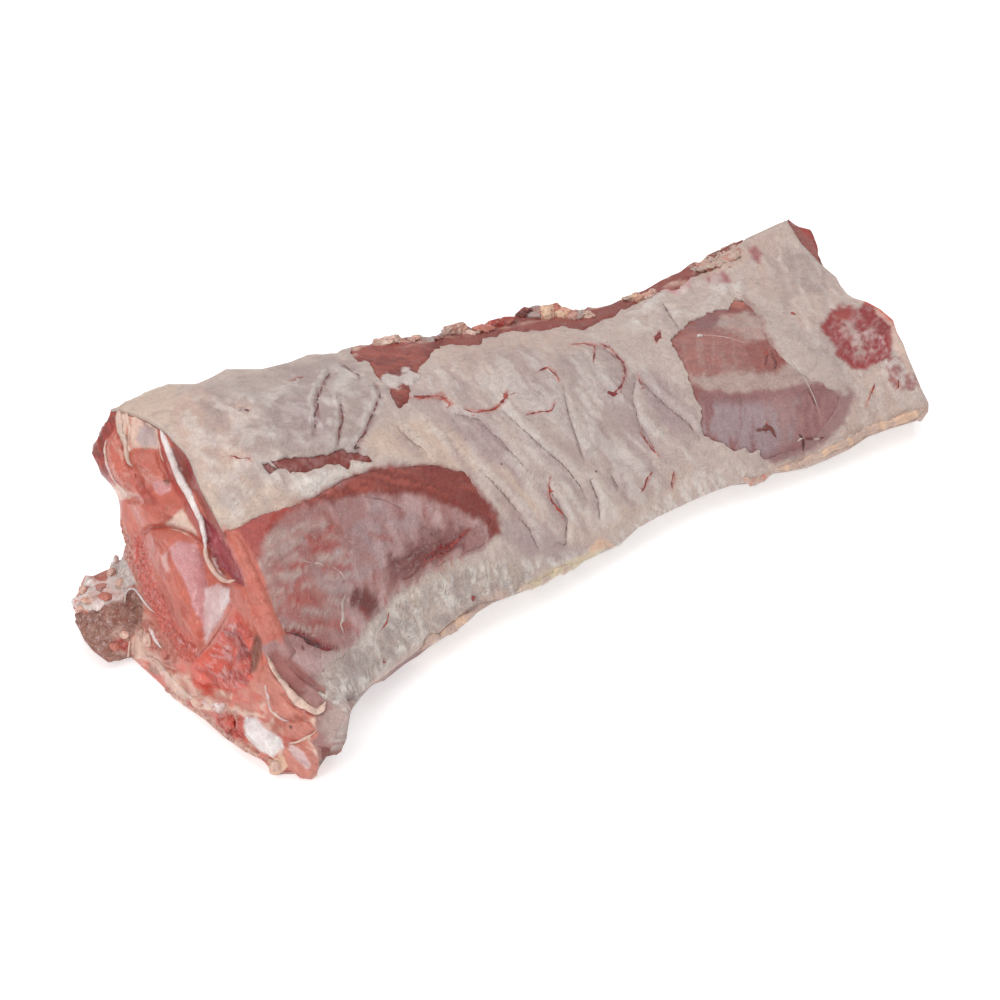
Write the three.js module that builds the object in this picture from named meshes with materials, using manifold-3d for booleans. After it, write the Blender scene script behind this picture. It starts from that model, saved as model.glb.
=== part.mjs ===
// One side of a bone-in lamb saddle, chump end to rib end, lying on its sawn underside with the fat up.
// Millimetres, +Z up. X runs along the back: the cut chump end is at -X and the rib end at +X.
// Y runs across: the flank's fold is at -Y and the chine, where the backbone was sawn through, is at +Y.
import * as THREE from "three";
import { mergeVertices } from "three/addons/utils/BufferGeometryUtils.js";
import Module from "manifold-3d";

const wasm = await Module();
wasm.setup();

// ---- Driving dimensions ----

const NEAR_X = -128; // chump end, where the cut meets the chine
const FAR_X = 232; // rib end
const FAT = 2.4; // thickness of the fat cover
const GAP = 0.3; // between neighbouring pieces
const COVER_GAP = 0.8; // between the cover and the meat, whose facets differ

// Sections across the saddle, from the chump to the ribs.
// foot: the flank's y on the board. hemY, hemZ: the widest point of the flank's fold.
// round: 1 is a straight slope from the hem to the crown, 2 an ellipse.
// crownY, crownZ: the top. chineY, chineZ: the upper edge of the sawn wall.
const SECTIONS = [
  { at: -128, foot: -66, hemY: -72, hemZ: 28, round: 1.2, crownY: 50, crownZ: 95, chineY: 87, chineZ: 90 },
  { at: -112, foot: -57, hemY: -64, hemZ: 25, round: 1.3, crownY: 50, crownZ: 95, chineY: 87, chineZ: 90 },
  { at: -90, foot: -39, hemY: -48, hemZ: 21, round: 1.45, crownY: 50, crownZ: 93, chineY: 86, chineZ: 90 },
  { at: -45, foot: -25, hemY: -34, hemZ: 17, round: 1.6, crownY: 50, crownZ: 84, chineY: 86, chineZ: 83 },
  { at: 20, foot: -20, hemY: -29, hemZ: 14, round: 1.6, crownY: 48, crownZ: 71, chineY: 86, chineZ: 71 },
  { at: 90, foot: -13, hemY: -22, hemZ: 13, round: 1.6, crownY: 48, crownZ: 57, chineY: 86, chineZ: 59 },
  { at: 150, foot: -19, hemY: -28, hemZ: 12, round: 1.6, crownY: 44, crownZ: 49, chineY: 86, chineZ: 52 },
  { at: 195, foot: -23, hemY: -32, hemZ: 11, round: 1.7, crownY: 34, crownZ: 45, chineY: 86, chineZ: 54 },
  { at: 244, foot: -25, hemY: -33, hemZ: 11, round: 1.8, crownY: 24, crownZ: 41, chineY: 85, chineZ: 59 },
];

// The chump end is cut on a slant: its foot stands this far out from its top, except close to the chine.
const FACE = { lean: 28, height: 90, chineY: 87, chineBand: 26 };
// The flank's own corner of that cut is set back.
const FLANK_CORNER = { y: -78, reach: 18, back: 24 };
// Muscles that stand out of the cut, and hollows between them, as soft mounds: place, reach and height.
const LOBES = [
  { y: 84, z: 69, reach: 15, out: 14 }, // dried outer muscle beside the chine
  { y: 60, z: 54, reach: 10, out: 3 },
  { y: 47, z: 66, reach: 10, out: 4 },
  { y: 38, z: 80, reach: 9, out: -5 }, // hollow under the fat's corner
  { y: 28, z: 44, reach: 20, out: 4 }, // broad middle muscle
  { y: 2, z: 54, reach: 9, out: -6 }, // groove beside the flank's wall
  { y: -14, z: 30, reach: 8, out: -8 }, // dark gap above the hip bone
  { y: 8, z: 20, reach: 12, out: 4 },
  { y: -34, z: 30, reach: 12, out: 4 },
  { y: -62, z: 14, reach: 12, out: 3 }, // the flank's last tongue of muscle
  { y: 66, z: 34, reach: 9, out: -4 },
];

// Vertebrae sawn in half along the chine, a row of equal blocks above the board.
const SPINE = {
  first: -107, // middle of the first whole one
  pitch: 34,
  count: 10,
  long: 30.5,
  foot: 1.5, // underside
  bodyTop: 25,
  neckLong: 13, // bridge beside the canal
  bladeFoot: 37,
  bladeLong: 20,
  bladeTop: 62, // or less where the meat is low
  bladeLean: 0.24, // slope of the blades towards the chump
  underEdge: 9, // meat left above a blade
  wall: 86.6, // sawn face
  deep: 15, // how far each block goes into the meat
};
const CANAL = { z: 31, radius: 5.5, past: 40, sides: 10 };

// The rib end is cut nearly straight: further out at the chine, set back under the flank, with a slight wave.
const RIB_END = {
  chineOut: 16,
  chineFrom: 30,
  chineBand: 60,
  flankY: -32,
  flankReach: 20,
  flankBack: 6,
  wave: 4,
  waveLong: 17,
  slant: 0.05,
};
// There the eye of the loin stands out past the fat.
const EYE = { y: 76, reach: 15, out: 10, fade: 20 };
// Both cuts' relief fades out within a fifth of the length: the power of the fraction left.
const CUT_FADE = 5;

// Bones in the chump's cut, as rounded blocks that run into the meat. The sacrum's end stands out at the
// foot of the chine. The hip bone crosses the foot of the cut, and ends in a cap of cartilage.
const CUT_BONES = {
  sacrum: { y: 64, z: 12.5, wide: 34, high: 22, from: -164, to: -126, corner: 7 },
  hip_bone: { y: -14, z: 9.5, wide: 34, high: 13, from: -156, to: -132, corner: 5 },
  hip_cartilage: { y: -44, z: 13.5, wide: 22, high: 17, from: -153, to: -136, corner: 7 },
};

// Bare places in the fat cover, where the muscle shows. Each is an outline seen from above, as x, y.
const WINDOWS = [
  // hip and flank, open at the chump's cut
  [[-190, -3], [-117, -1], [-75, 4], [-54, 6], [-31, 4], [-17, -8],
    [-20, -20], [-45, -25], [-76, -31], [-100, -41], [-118, -50], [-190, -58]],
  // rump's upper edge, open at the chine
  [[-16, 110], [16, 110], [20, 75], [16, 66], [5, 59], [-8, 48],
    [-20, 34], [-30, 31], [-28, 39], [-21, 50], [-22, 70]],
  // narrow slit over the hip
  [[-103, 17], [-92, 20], [-66, 16], [-56, 9], [-70, 8], [-95, 11]],
  // oval over the loin
  [[127, 39], [147, 48], [170, 51], [184, 54], [179, 27], [170, 16], [178, -6],
    [183, -16], [159, -25], [132, -24], [108, -12], [112, 0], [118, 22]],
  // rib end, open at its cut
  [[204, 20], [219, 25], [270, 22], [270, -10], [222, -10], [204, -11], [196, -4], [197, 8]],
];

const COLOUR = {
  meat: 0xa85f55,
  fat: 0xc9b0a4,
  bone: 0xb9a397,
  cartilage: 0xe6dcd6,
};

// ---- Shape helpers ----

const { sin, cos, exp, hypot, PI } = Math;
const clamp01 = (v) => THREE.MathUtils.clamp(v, 0, 1);
const ease = (v) => THREE.MathUtils.smoothstep(v, 0, 1);

// One dimension of the sections as a smooth curve along the saddle.
function along(key, x) {
  const last = SECTIONS.length - 1;
  const slope = (i) => {
    const before = SECTIONS[Math.max(i - 1, 0)];
    const after = SECTIONS[Math.min(i + 1, last)];
    return (after[key] - before[key]) / (after.at - before.at);
  };
  let i = 0;
  while (i < last - 1 && x > SECTIONS[i + 1].at) i++;
  const from = SECTIONS[i];
  const to = SECTIONS[i + 1];
  const span = to.at - from.at;
  const t = clamp01((x - from.at) / span);
  const rise = to[key] - from[key];
  const a = slope(i) * span - rise;
  const b = rise - slope(i + 1) * span;
  return from[key] + rise * t + t * (1 - t) * (a * (1 - t) + b * t);
}

// Share of the way across that the crown takes.
const CROWN_SHARE = 0.68;

// The outer skin at x, u = 0 at the flank's hem to 1 at the chine's upper edge, as [y, z].
function outline(x, u) {
  const hemY = along("hemY", x);
  const hemZ = along("hemZ", x);
  const crownY = along("crownY", x);
  const crownZ = along("crownZ", x);
  if (u < CROWN_SHARE) {
    const turn = (u / CROWN_SHARE) * (PI / 2);
    const power = 2 / along("round", x);
    return [
      hemY + (crownY - hemY) * (1 - cos(turn) ** power),
      hemZ + (crownZ - hemZ) * sin(turn) ** power,
    ];
  }
  const past = (u - CROWN_SHARE) / (1 - CROWN_SHARE);
  return [
    crownY + (along("chineY", x) - crownY) * past,
    crownZ + (along("chineZ", x) - crownZ) * past * past,
  ];
}

// A soft mound, 1 at its middle and fading over its reach.
const mound = (away, reach) => exp(-((away / reach) ** 2));

// Gentle folds of the cover: diagonal rolls over the loin, broad waves all over and a swell over the hip.
const ROLLS = { high: 0.9, long: 13, slant: 1.3, x: 35, reach: 70 };
const WAVES = { high: 0.7, long: 21, slant: -0.6, start: 1 };
const SWELL = { high: 2.2, x: -62, reachX: 30, y: -6, reachY: 22 };

function folds(x, y) {
  const rolls = ROLLS.high * sin((x + ROLLS.slant * y) / ROLLS.long) * mound(x - ROLLS.x, ROLLS.reach);
  const waves = WAVES.high * sin((x + WAVES.slant * y) / WAVES.long + WAVES.start);
  const swell = SWELL.high * mound(x - SWELL.x, SWELL.reachX) * mound(y - SWELL.y, SWELL.reachY);
  return rolls + waves + swell;
}

// The skin pushed in by a depth along its own normal.
function skin(x, u, depth) {
  const step = 0.01;
  const [y, z] = outline(x, u);
  const [y0, z0] = outline(x, clamp01(u - step));
  const [y1, z1] = outline(x, clamp01(u + step));
  const size = hypot(y1 - y0, z1 - z0);
  const off = depth - folds(x, y);
  return [y + (off * (z1 - z0)) / size, z - (off * (y1 - y0)) / size];
}

// How far the chump's cut lies from the plane x = NEAR_X, outwards being negative.
function nearCut(y, z) {
  const clearOfChine = ease((FACE.chineY - y) / FACE.chineBand);
  let x = -FACE.lean * (1 - z / FACE.height) * clearOfChine;
  for (const lobe of LOBES) {
    x -= lobe.out * mound(hypot(y - lobe.y, z - lobe.z), lobe.reach);
  }
  return x + FLANK_CORNER.back * mound(y - FLANK_CORNER.y, FLANK_CORNER.reach);
}

// The same for the rib end.
function farCut(y, z) {
  const { chineOut, chineFrom, chineBand, flankY, flankReach, flankBack, wave, waveLong, slant } = RIB_END;
  const chine = chineOut * ease((y - chineFrom) / chineBand);
  const flank = flankBack * mound(y - flankY, flankReach);
  return wave * sin(y / waveLong) + chine - flank - slant * z;
}

// Fraction s of the length at height z and place y, as x.
function lengthwise(s, y, z) {
  return NEAR_X + (FAR_X - NEAR_X) * s + nearCut(y, z) * (1 - s) ** CUT_FADE + farCut(y, z) * s ** CUT_FADE;
}

// A box of cells bent into shape: place(a, b, c) turns the fractions along its three edges into a point.
function bentBox(cells, place) {
  const box = new THREE.BoxGeometry(1, 1, 1, ...cells);
  box.deleteAttribute("normal");
  box.deleteAttribute("uv");
  const shape = mergeVertices(box);
  const corners = shape.attributes.position;
  for (let i = 0; i < corners.count; i++) {
    const point = place(corners.getX(i) + 0.5, corners.getY(i) + 0.5, corners.getZ(i) + 0.5);
    corners.setXYZ(i, ...point);
  }
  return shape;
}

// A closed geometry as a solid that can be joined and cut, and back.
function solid(geometry) {
  const bare = geometry.clone();
  bare.deleteAttribute("normal");
  bare.deleteAttribute("uv");
  const merged = mergeVertices(bare, 1e-3);
  return new wasm.Manifold(
    new wasm.Mesh({
      numProp: 3,
      vertProperties: merged.attributes.position.array,
      triVerts: new Uint32Array(merged.index.array),
    }),
  );
}

function toGeometry(made) {
  const mesh = made.getMesh();
  const geometry = new THREE.BufferGeometry();
  geometry.setAttribute("position", new THREE.BufferAttribute(mesh.vertProperties, 3));
  geometry.setIndex(new THREE.BufferAttribute(mesh.triVerts, 1));
  geometry.computeVertexNormals();
  return geometry;
}

// ---- Meat ----

const LEAN_CELLS = [42, 16, 6];
// How fast the roundness of the flank's fold dies out across the saddle.
const FOLD_FADE = 6;

function meat() {
  const depth = FAT + COVER_GAP;
  return bentBox(LEAN_CELLS, (s, u, w) => {
    const x = NEAR_X + (FAR_X - NEAR_X) * s;
    const [topY, topZ] = skin(x, u, depth);
    const [hemY] = skin(x, 0, depth);
    const [chineY] = skin(x, 1, depth);
    const foot = along("foot", x);
    const across = (topY - hemY) / (chineY - hemY);
    const baseY = foot + (along("chineY", x) - foot) * across;
    const bulge = (hemY - foot) * (sin((w * PI) / 2) - w) * (1 - u) ** FOLD_FADE;
    const y = baseY + (topY - baseY) * w + bulge;
    const z = topZ * w;
    const eye = EYE.out * mound(y - EYE.y, EYE.reach) * s ** EYE.fade;
    return [lengthwise(s, y, z) + eye, y, z];
  });
}

// ---- Fat cover ----

const FAT_CELLS = [42, 15, 1];
const FAT_EDGE = { hem: 0.04, chine: 0.935, ragged: 0.012 };

// The thin cover, from just above the flank's fold to short of the chine, where its edge is torn.
function fatCover() {
  return bentBox(FAT_CELLS, (s, across, up) => {
    const torn = FAT_EDGE.ragged * (sin(41 * s) + sin(97 * s + 2));
    const u = FAT_EDGE.hem + (FAT_EDGE.chine + torn - FAT_EDGE.hem) * across;
    const x = NEAR_X + (FAR_X - NEAR_X) * s;
    const [y, z] = skin(x, u, FAT * (1 - up));
    return [lengthwise(s, y, z), y, z];
  });
}

// A window's outline as a bar that goes down through the cover.
function windowBar(points) {
  const aboveAll = 140;
  const curve = new THREE.CatmullRomCurve3(points.map(([x, y]) => new THREE.Vector3(x, y, 0)), true);
  const rim = curve.getPoints(points.length * 2);
  const shape = new THREE.Shape(rim.slice(0, -1).map((p) => new THREE.Vector2(p.x, p.y)));
  return solid(new THREE.ExtrudeGeometry(shape, { depth: aboveAll, bevelEnabled: false }));
}

// ---- Bones ----

// A block with rounded corners, wide along the shape's x and high along its y, about its middle.
function roundedBlock(wide, high, corner) {
  const shape = new THREE.Shape();
  const w = wide / 2 - corner;
  const h = high / 2 - corner;
  shape.absarc(w, h, corner, 0, PI / 2);
  shape.absarc(-w, h, corner, PI / 2, PI);
  shape.absarc(-w, -h, corner, PI, 1.5 * PI);
  shape.absarc(w, -h, corner, 1.5 * PI, 2 * PI);
  return shape;
}

const X = new THREE.Vector3(1, 0, 0);
const Y = new THREE.Vector3(0, 1, 0);
const Z = new THREE.Vector3(0, 0, 1);

// A bone of the cut, grown all round by `grow` for its pocket.
function cutBone({ y, z, wide, high, from, to, corner }, grow = 0) {
  const shape = roundedBlock(wide + 2 * grow, high + 2 * grow, corner + grow);
  const block = new THREE.ExtrudeGeometry(shape, {
    depth: to - from + grow,
    bevelEnabled: false,
    curveSegments: 4,
  });
  block.applyMatrix4(new THREE.Matrix4().makeBasis(Y, Z, X).setPosition(from, y, z));
  return solid(block);
}

// One sawn vertebra with its body on the board, centred on x: body, bridge and blade in one outline.
function vertebra(x, grow = 0) {
  const { long, foot, bodyTop, neckLong, bladeFoot, bladeLong, bladeLean, wall, deep } = SPINE;
  const top = Math.min(SPINE.bladeTop, along("chineZ", x) - SPINE.underEdge) + grow;
  const body = long / 2 + grow;
  const neck = neckLong / 2 + grow;
  const blade = bladeLong / 2 + grow;
  const shift = bladeLean * (top - bladeFoot);
  const shoulder = 3;
  const outlinePoints = [
    [-body, foot - grow],
    [body, foot - grow],
    [body, bodyTop - shoulder],
    [body - shoulder, bodyTop + grow],
    [neck, bodyTop + grow],
    [neck, bladeFoot - grow],
    [blade, bladeFoot - grow],
    [blade - shift, top],
    [-blade - shift, top],
    [-blade, bladeFoot - grow],
    [-neck, bladeFoot - grow],
    [-neck, bodyTop + grow],
    [shoulder - body, bodyTop + grow],
    [-body, bodyTop - shoulder],
  ];
  const shape = new THREE.Shape(outlinePoints.map(([a, b]) => new THREE.Vector2(a, b)));
  const block = new THREE.ExtrudeGeometry(shape, { depth: deep + 3 * grow, bevelEnabled: false });
  const inward = new THREE.Vector3(0, -1, 0);
  block.applyMatrix4(new THREE.Matrix4().makeBasis(X, Z, inward).setPosition(x, wall + grow, 0));
  return solid(block);
}

// The canal that the saw opened, as a bar to cut away.
function canal() {
  const { radius, past, sides } = CANAL;
  const bar = new THREE.CylinderGeometry(radius, radius, FAR_X - NEAR_X + 2 * past, sides);
  bar.rotateZ(PI / 2);
  bar.translate((NEAR_X + FAR_X) / 2, SPINE.wall, CANAL.z);
  return solid(bar);
}

// ---- Assembly ----

const saddle = new THREE.Group();

function add(name, made, colour, roughness) {
  const material = new THREE.MeshStandardMaterial({ color: colour, roughness, metalness: 0 });
  const mesh = new THREE.Mesh(toGeometry(made), material);
  mesh.name = name;
  saddle.add(mesh);
}

const groove = canal();
let lean = solid(meat()).subtract(groove);
for (let i = 0; i < SPINE.count; i++) {
  const x = SPINE.first + SPINE.pitch * i;
  lean = lean.subtract(vertebra(x, GAP));
  add(`vertebra_${i + 1}`, vertebra(x).subtract(groove), COLOUR.bone, 0.55);
}
for (const [name, size] of Object.entries(CUT_BONES)) {
  lean = lean.subtract(cutBone(size, GAP));
  const colour = name === "hip_cartilage" ? COLOUR.cartilage : COLOUR.bone;
  add(name, cutBone(size), colour, 0.5);
}
add("lean", lean, COLOUR.meat, 0.45);
let cover = solid(fatCover());
for (const outlinePoints of WINDOWS) cover = cover.subtract(windowBar(outlinePoints));
add("fat_cover", cover, COLOUR.fat, 0.4);

// Origin at the middle of the underside.
const bounds = new THREE.Box3().setFromObject(saddle);
const middle = bounds.getCenter(new THREE.Vector3());
saddle.position.set(-middle.x, -middle.y, -bounds.min.z);

export default saddle;
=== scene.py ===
# The looks of one raw, bone-in side of a lamb saddle: fat cover, bare muscle, the chump's cut and the sawn chine.
# Shapes are worked out in the part's own millimetres and written to the meshes in metres.
from typing import NamedTuple
import bmesh
import bpy
import numpy as np
from mathutils import Matrix, Vector
from mathutils.bvhtree import BVHTree


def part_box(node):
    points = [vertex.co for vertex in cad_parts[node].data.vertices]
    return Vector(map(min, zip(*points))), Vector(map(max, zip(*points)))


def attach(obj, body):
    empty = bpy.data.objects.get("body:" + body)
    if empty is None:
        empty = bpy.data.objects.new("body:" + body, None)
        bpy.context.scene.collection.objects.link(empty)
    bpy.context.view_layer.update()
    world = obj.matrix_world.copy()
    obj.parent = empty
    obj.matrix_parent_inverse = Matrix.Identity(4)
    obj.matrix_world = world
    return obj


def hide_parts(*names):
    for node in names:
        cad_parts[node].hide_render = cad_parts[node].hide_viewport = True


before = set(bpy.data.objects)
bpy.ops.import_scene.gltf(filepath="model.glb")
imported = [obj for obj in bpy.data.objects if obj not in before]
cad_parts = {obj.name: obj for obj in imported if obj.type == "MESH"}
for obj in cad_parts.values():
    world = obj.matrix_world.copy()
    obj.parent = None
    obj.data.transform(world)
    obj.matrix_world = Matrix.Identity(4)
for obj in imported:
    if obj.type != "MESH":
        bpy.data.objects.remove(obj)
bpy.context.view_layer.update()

MM = 0.001

# ---- The saddle's form, as the solids have it ----

NEAR_X = -128.0  # chump end, where the cut meets the chine
FAR_X = 232.0  # rib end
FAT = 2.4  # thickness of the fat cover
CROWN_SHARE = 0.68  # share of the way across that the crown takes
RIB_REACH = 6.0  # how much further than the solids the rib end's middle reaches
RIB_REACH_FROM = 0.86  # the share of the length where that starts
END_FADE = 5  # how soon the cuts' shapes fade out along the saddle
HIP_BONE_CORNER = (-156.0, -31.0, 3.0)  # lowest corner of the hip bone's block, in these millimetres

SECTION_KEYS = ("at", "foot", "hemY", "hemZ", "round", "crownY", "crownZ", "chineY", "chineZ")
SECTIONS = dict(zip(SECTION_KEYS, np.array([
    (-128, -66, -72, 28, 1.2, 50, 95, 87, 90),
    (-112, -57, -64, 25, 1.3, 50, 95, 87, 90),
    (-90, -39, -48, 21, 1.45, 50, 93, 86, 90),
    (-45, -25, -34, 17, 1.6, 50, 84, 86, 83),
    (20, -20, -29, 14, 1.6, 48, 71, 86, 71),
    (90, -13, -22, 13, 1.6, 48, 57, 86, 59),
    (150, -19, -28, 12, 1.6, 44, 49, 86, 52),
    (195, -23, -32, 11, 1.7, 34, 45, 86, 54),
    (244, -25, -33, 11, 1.8, 24, 41, 85, 59),
], float).T))

ROLL_HIGH, ROLL_APART, ROLL_AT, ROLL_REACH = 0.7, 13, 35, 70  # the soft rolls across the loin
WAIST_HIGH, WAIST_APART = 0.5, 21
HIP_HIGH, HIP_X, HIP_REACH_X, HIP_Y, HIP_REACH_Y = 2.2, -62, 30, -6, 22

FACE_LEAN = 28.0  # how far the chump's cut leans out at its foot
FACE_HEIGHT = 90.0
FACE_CHINE = 87.0
FACE_CHINE_BAND = 26.0  # the width beside the chine in which it turns upright
FLANK_BACK, FLANK_Y, FLANK_REACH = 24, -78, 18  # the flank's corner stands back from the cut
EYE_OUT, EYE_Y, EYE_REACH = 10, 76, 15  # the eye of the loin stands out at the rib end
LOBES = (  # y, z, reach, out
    (84, 69, 15, 14), (60, 54, 10, 3), (47, 66, 10, 4), (38, 80, 9, -5), (28, 44, 20, 4), (2, 54, 9, -6), (-14, 30, 8,
    -8), (8, 20, 12, 4), (-34, 30, 12, 4), (-62, 14, 12, 3), (66, 34, 9, -4),
)

# The frame's place of the part's own millimetres, found on a block whose size is known.
SHIFT = np.array(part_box("hip_bone")[0]) / MM - np.array(HIP_BONE_CORNER)


def ease(v):
    v = np.clip(v, 0, 1)
    return v * v * (3 - 2 * v)


def along(key, x):
    """One dimension of the sections as a smooth curve along the saddle."""
    at, values = SECTIONS["at"], SECTIONS[key]
    last = len(at) - 1
    before = np.maximum(np.arange(last + 1) - 1, 0)
    after = np.minimum(np.arange(last + 1) + 1, last)
    slopes = (values[after] - values[before]) / (at[after] - at[before])
    i = np.clip(np.searchsorted(at, x, side="left") - 1, 0, last - 1)
    span = at[i + 1] - at[i]
    t = np.clip((x - at[i]) / span, 0, 1)
    rise = values[i + 1] - values[i]
    a = slopes[i] * span - rise
    b = rise - slopes[i + 1] * span
    return values[i] + rise * t + t * (1 - t) * (a * (1 - t) + b * t)


def outline(x, u):
    """The outer skin at x, from u = 0 at the flank's hem to 1 at the chine's upper edge."""
    hem_y, hem_z = along("hemY", x), along("hemZ", x)
    crown_y, crown_z = along("crownY", x), along("crownZ", x)
    turn = np.clip(u / CROWN_SHARE, 0, 1) * np.pi / 2
    power = 2 / along("round", x)
    past = np.clip((u - CROWN_SHARE) / (1 - CROWN_SHARE), 0, None)
    y = hem_y + (crown_y - hem_y) * (1 - np.maximum(np.cos(turn), 1e-9) ** power)
    z = hem_z + (crown_z - hem_z) * np.sin(turn) ** power
    over = u > CROWN_SHARE
    y = np.where(over, crown_y + (along("chineY", x) - crown_y) * past, y)
    z = np.where(over, crown_z + (along("chineZ", x) - crown_z) * past**2, z)
    return y, z


def folds(x, y):
    """How far the skin's low folds stand out."""
    rolls = ROLL_HIGH * np.sin((x + 1.3 * y) / ROLL_APART) * np.exp(-(((x - ROLL_AT) / ROLL_REACH) ** 2))
    waist = WAIST_HIGH * np.sin((x - 0.6 * y) / WAIST_APART + 1)
    hip = HIP_HIGH * np.exp(-(((x - HIP_X) / HIP_REACH_X) ** 2) - ((y - HIP_Y) / HIP_REACH_Y) ** 2)
    return rolls + waist + hip


def skin(x, u, depth):
    """The skin pushed in by a depth along its own normal."""
    step = 0.01
    y, z = outline(x, u)
    y0, z0 = outline(x, np.clip(u - step, 0, 1))
    y1, z1 = outline(x, np.clip(u + step, 0, 1))
    size = np.hypot(y1 - y0, z1 - z0)
    off = depth - folds(x, y)
    return y + off * (z1 - z0) / size, z - off * (y1 - y0) / size


def near_cut(y, z):
    """How far the chump's cut lies beyond its plain end, with its hollows and lobes."""
    clear_of_chine = ease((FACE_CHINE - y) / FACE_CHINE_BAND)
    x = -FACE_LEAN * (1 - z / FACE_HEIGHT) * clear_of_chine
    for lobe_y, lobe_z, reach, out in LOBES:
        x = x - out * np.exp(-(((y - lobe_y) ** 2 + (z - lobe_z) ** 2) / reach**2))
    return x + FLANK_BACK * np.exp(-(((y - FLANK_Y) / FLANK_REACH) ** 2))


def far_cut(y, z):
    """The same for the cut at the ribs."""
    return 4 * np.sin(y / 17) + 16 * ease((y - 30) / 60) - 6 * np.exp(-(((y + 32) / 20) ** 2)) - 0.05 * z


def lengthwise(s, y, z):
    """Where a share s of the length falls, drawn to the shapes of both cuts."""
    near, far = np.clip(1 - s, 0, 1) ** END_FADE, np.clip(s, 0, 1) ** END_FADE
    return NEAR_X + (FAR_X - NEAR_X) * s + near_cut(y, z) * near + far_cut(y, z) * far


def skin_point(s, u, depth):
    """A point of the skin, pushed in by a depth."""
    x = NEAR_X + (FAR_X - NEAR_X) * s
    y, z = skin(x, u, depth)
    return np.stack([lengthwise(s, y, z) + rib_reach(s, u), y, z], -1)


def rib_reach(s, u):
    """How much further than the solids the rib end reaches, towards its middle."""
    bow = np.sin(np.clip((u - 0.06) / 0.86, 0, 1) * np.pi) ** 0.8
    return RIB_REACH * bow * ease((s - RIB_REACH_FROM) / 0.14)


def meat_point(s, u, w, depth):
    """A point of the meat: w = 1 on its skin, 0 on its underside."""
    x = NEAR_X + (FAR_X - NEAR_X) * s
    top_y, top_z = skin(x, u, depth)
    hem_y = skin(x, 0 * u, depth)[0]
    chine_y = skin(x, 0 * u + 1, depth)[0]
    foot = along("foot", x)
    across = (top_y - hem_y) / (chine_y - hem_y)
    base_y = foot + (along("chineY", x) - foot) * across
    bulge = (hem_y - foot) * (np.sin(w * np.pi / 2) - w) * np.clip(1 - u, 0, 1) ** 6
    y = base_y + (top_y - base_y) * w + bulge
    z = top_z * w
    eye = EYE_OUT * np.exp(-(((y - EYE_Y) / EYE_REACH) ** 2)) * np.clip(s, 0, 1) ** 20
    return np.stack([lengthwise(s, y, z) + eye + rib_reach(s, u), y, z], -1)


# ---- Where the photograph's pixels fall ----

CAMERA = {"azimuth": -38.0, "elevation": 33.0, "distance": 1080.0, "aim": (0.0, 0.0, 36.0), "focal_px": 2600.0}
PHOTO_PX = 1000.0


def camera_axes():
    """To the right, up and back to the camera, as the photograph sees them."""
    a, e = np.radians(CAMERA["azimuth"]), np.radians(CAMERA["elevation"])
    back = np.array([np.sin(a) * np.cos(e), -np.cos(a) * np.cos(e), np.sin(e)])
    right = np.array([np.cos(a), np.sin(a), 0.0])
    return right, np.cross(back, right), back


RIGHT, UP, BACK = camera_axes()
EYE_POINT = np.array(CAMERA["aim"]) + CAMERA["distance"] * BACK


def photo_px(points):
    """Pixels of the photograph at which points of the part are seen."""
    away = points - EYE_POINT
    scale = CAMERA["focal_px"] / -(away @ BACK)
    return np.stack([PHOTO_PX / 2 + away @ RIGHT * scale, PHOTO_PX / 2 - away @ UP * scale], -1)


# ---- Smooth noise for shapes ----


HASH_PRIMES = (374761393, 668265263, 1440662683)
SEED_PRIME = 974634777
STIR_PRIME = 1274126177


def lattice(cell, seed):
    """An even number from -1 to 1 for each cell, the same in each run."""
    c = cell.astype(np.int64)
    h = c[..., 0] * HASH_PRIMES[0] + c[..., 1] * HASH_PRIMES[1] + c[..., 2] * HASH_PRIMES[2] + seed * SEED_PRIME
    h = ((h ^ (h >> 13)) * STIR_PRIME) & 0xFFFFFFFF
    return ((h ^ (h >> 16)) & 0xFFFF) / 0xFFFF * 2 - 1


def noise(points, size, seed=0, octaves=1):
    """Smooth noise from -1 to 1 with bumps of about the given size."""
    total, weight, strength = 0.0, 0.0, 1.0
    for octave in range(octaves):
        p = points / size
        cell = np.floor(p)
        f = p - cell
        f = f * f * (3 - 2 * f)
        value = 0.0
        for corner in range(8):
            step = np.array([corner & 1, corner >> 1 & 1, corner >> 2 & 1])
            share = np.prod(np.where(step, f, 1 - f), axis=-1)
            value = value + share * lattice(cell + step, seed + 31 * octave)
        total, weight = total + strength * value, weight + strength
        size, strength = size / 2.1, strength * 0.55
    return total / weight


# ---- Outlines and strokes measured in the photograph's pixels ----


def dots(*numbers):
    """Points of the photograph from their pixels, x and y by turns."""
    return tuple(zip(numbers[::2], numbers[1::2]))


def line_distance(px, line):
    """Distance from each place to a line of points, and how far along it the nearest point lies."""
    line = np.array(line, float)
    best = np.full(len(px), 1e9)
    where = np.zeros(len(px))
    for i in range(len(line) - 1):
        a, d = line[i], line[i + 1] - line[i]
        t = np.clip(((px - a) @ d) / (d @ d), 0, 1)
        gap = np.hypot(*(px - a - t[:, None] * d).T)
        closer = gap < best
        best[closer] = gap[closer]
        where[closer] = (i + t[closer]) / (len(line) - 1)
    return best, where


def inside(px, outline):
    """Signed distance to a closed outline, positive inside."""
    ring = list(outline) + [outline[0]]
    distance = line_distance(px, ring)[0]
    odd = np.zeros(len(px), bool)
    for (x0, y0), (x1, y1) in zip(ring, ring[1:]):
        if y0 == y1:
            continue
        crosses = (px[:, 1] > min(y0, y1)) & (px[:, 1] <= max(y0, y1))
        odd ^= crosses & (px[:, 0] < x0 + (px[:, 1] - y0) * (x1 - x0) / (y1 - y0))
    return np.where(odd, distance, -distance)


# ---- The saddle against the background, clockwise from the chump's upper corner ----

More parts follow.
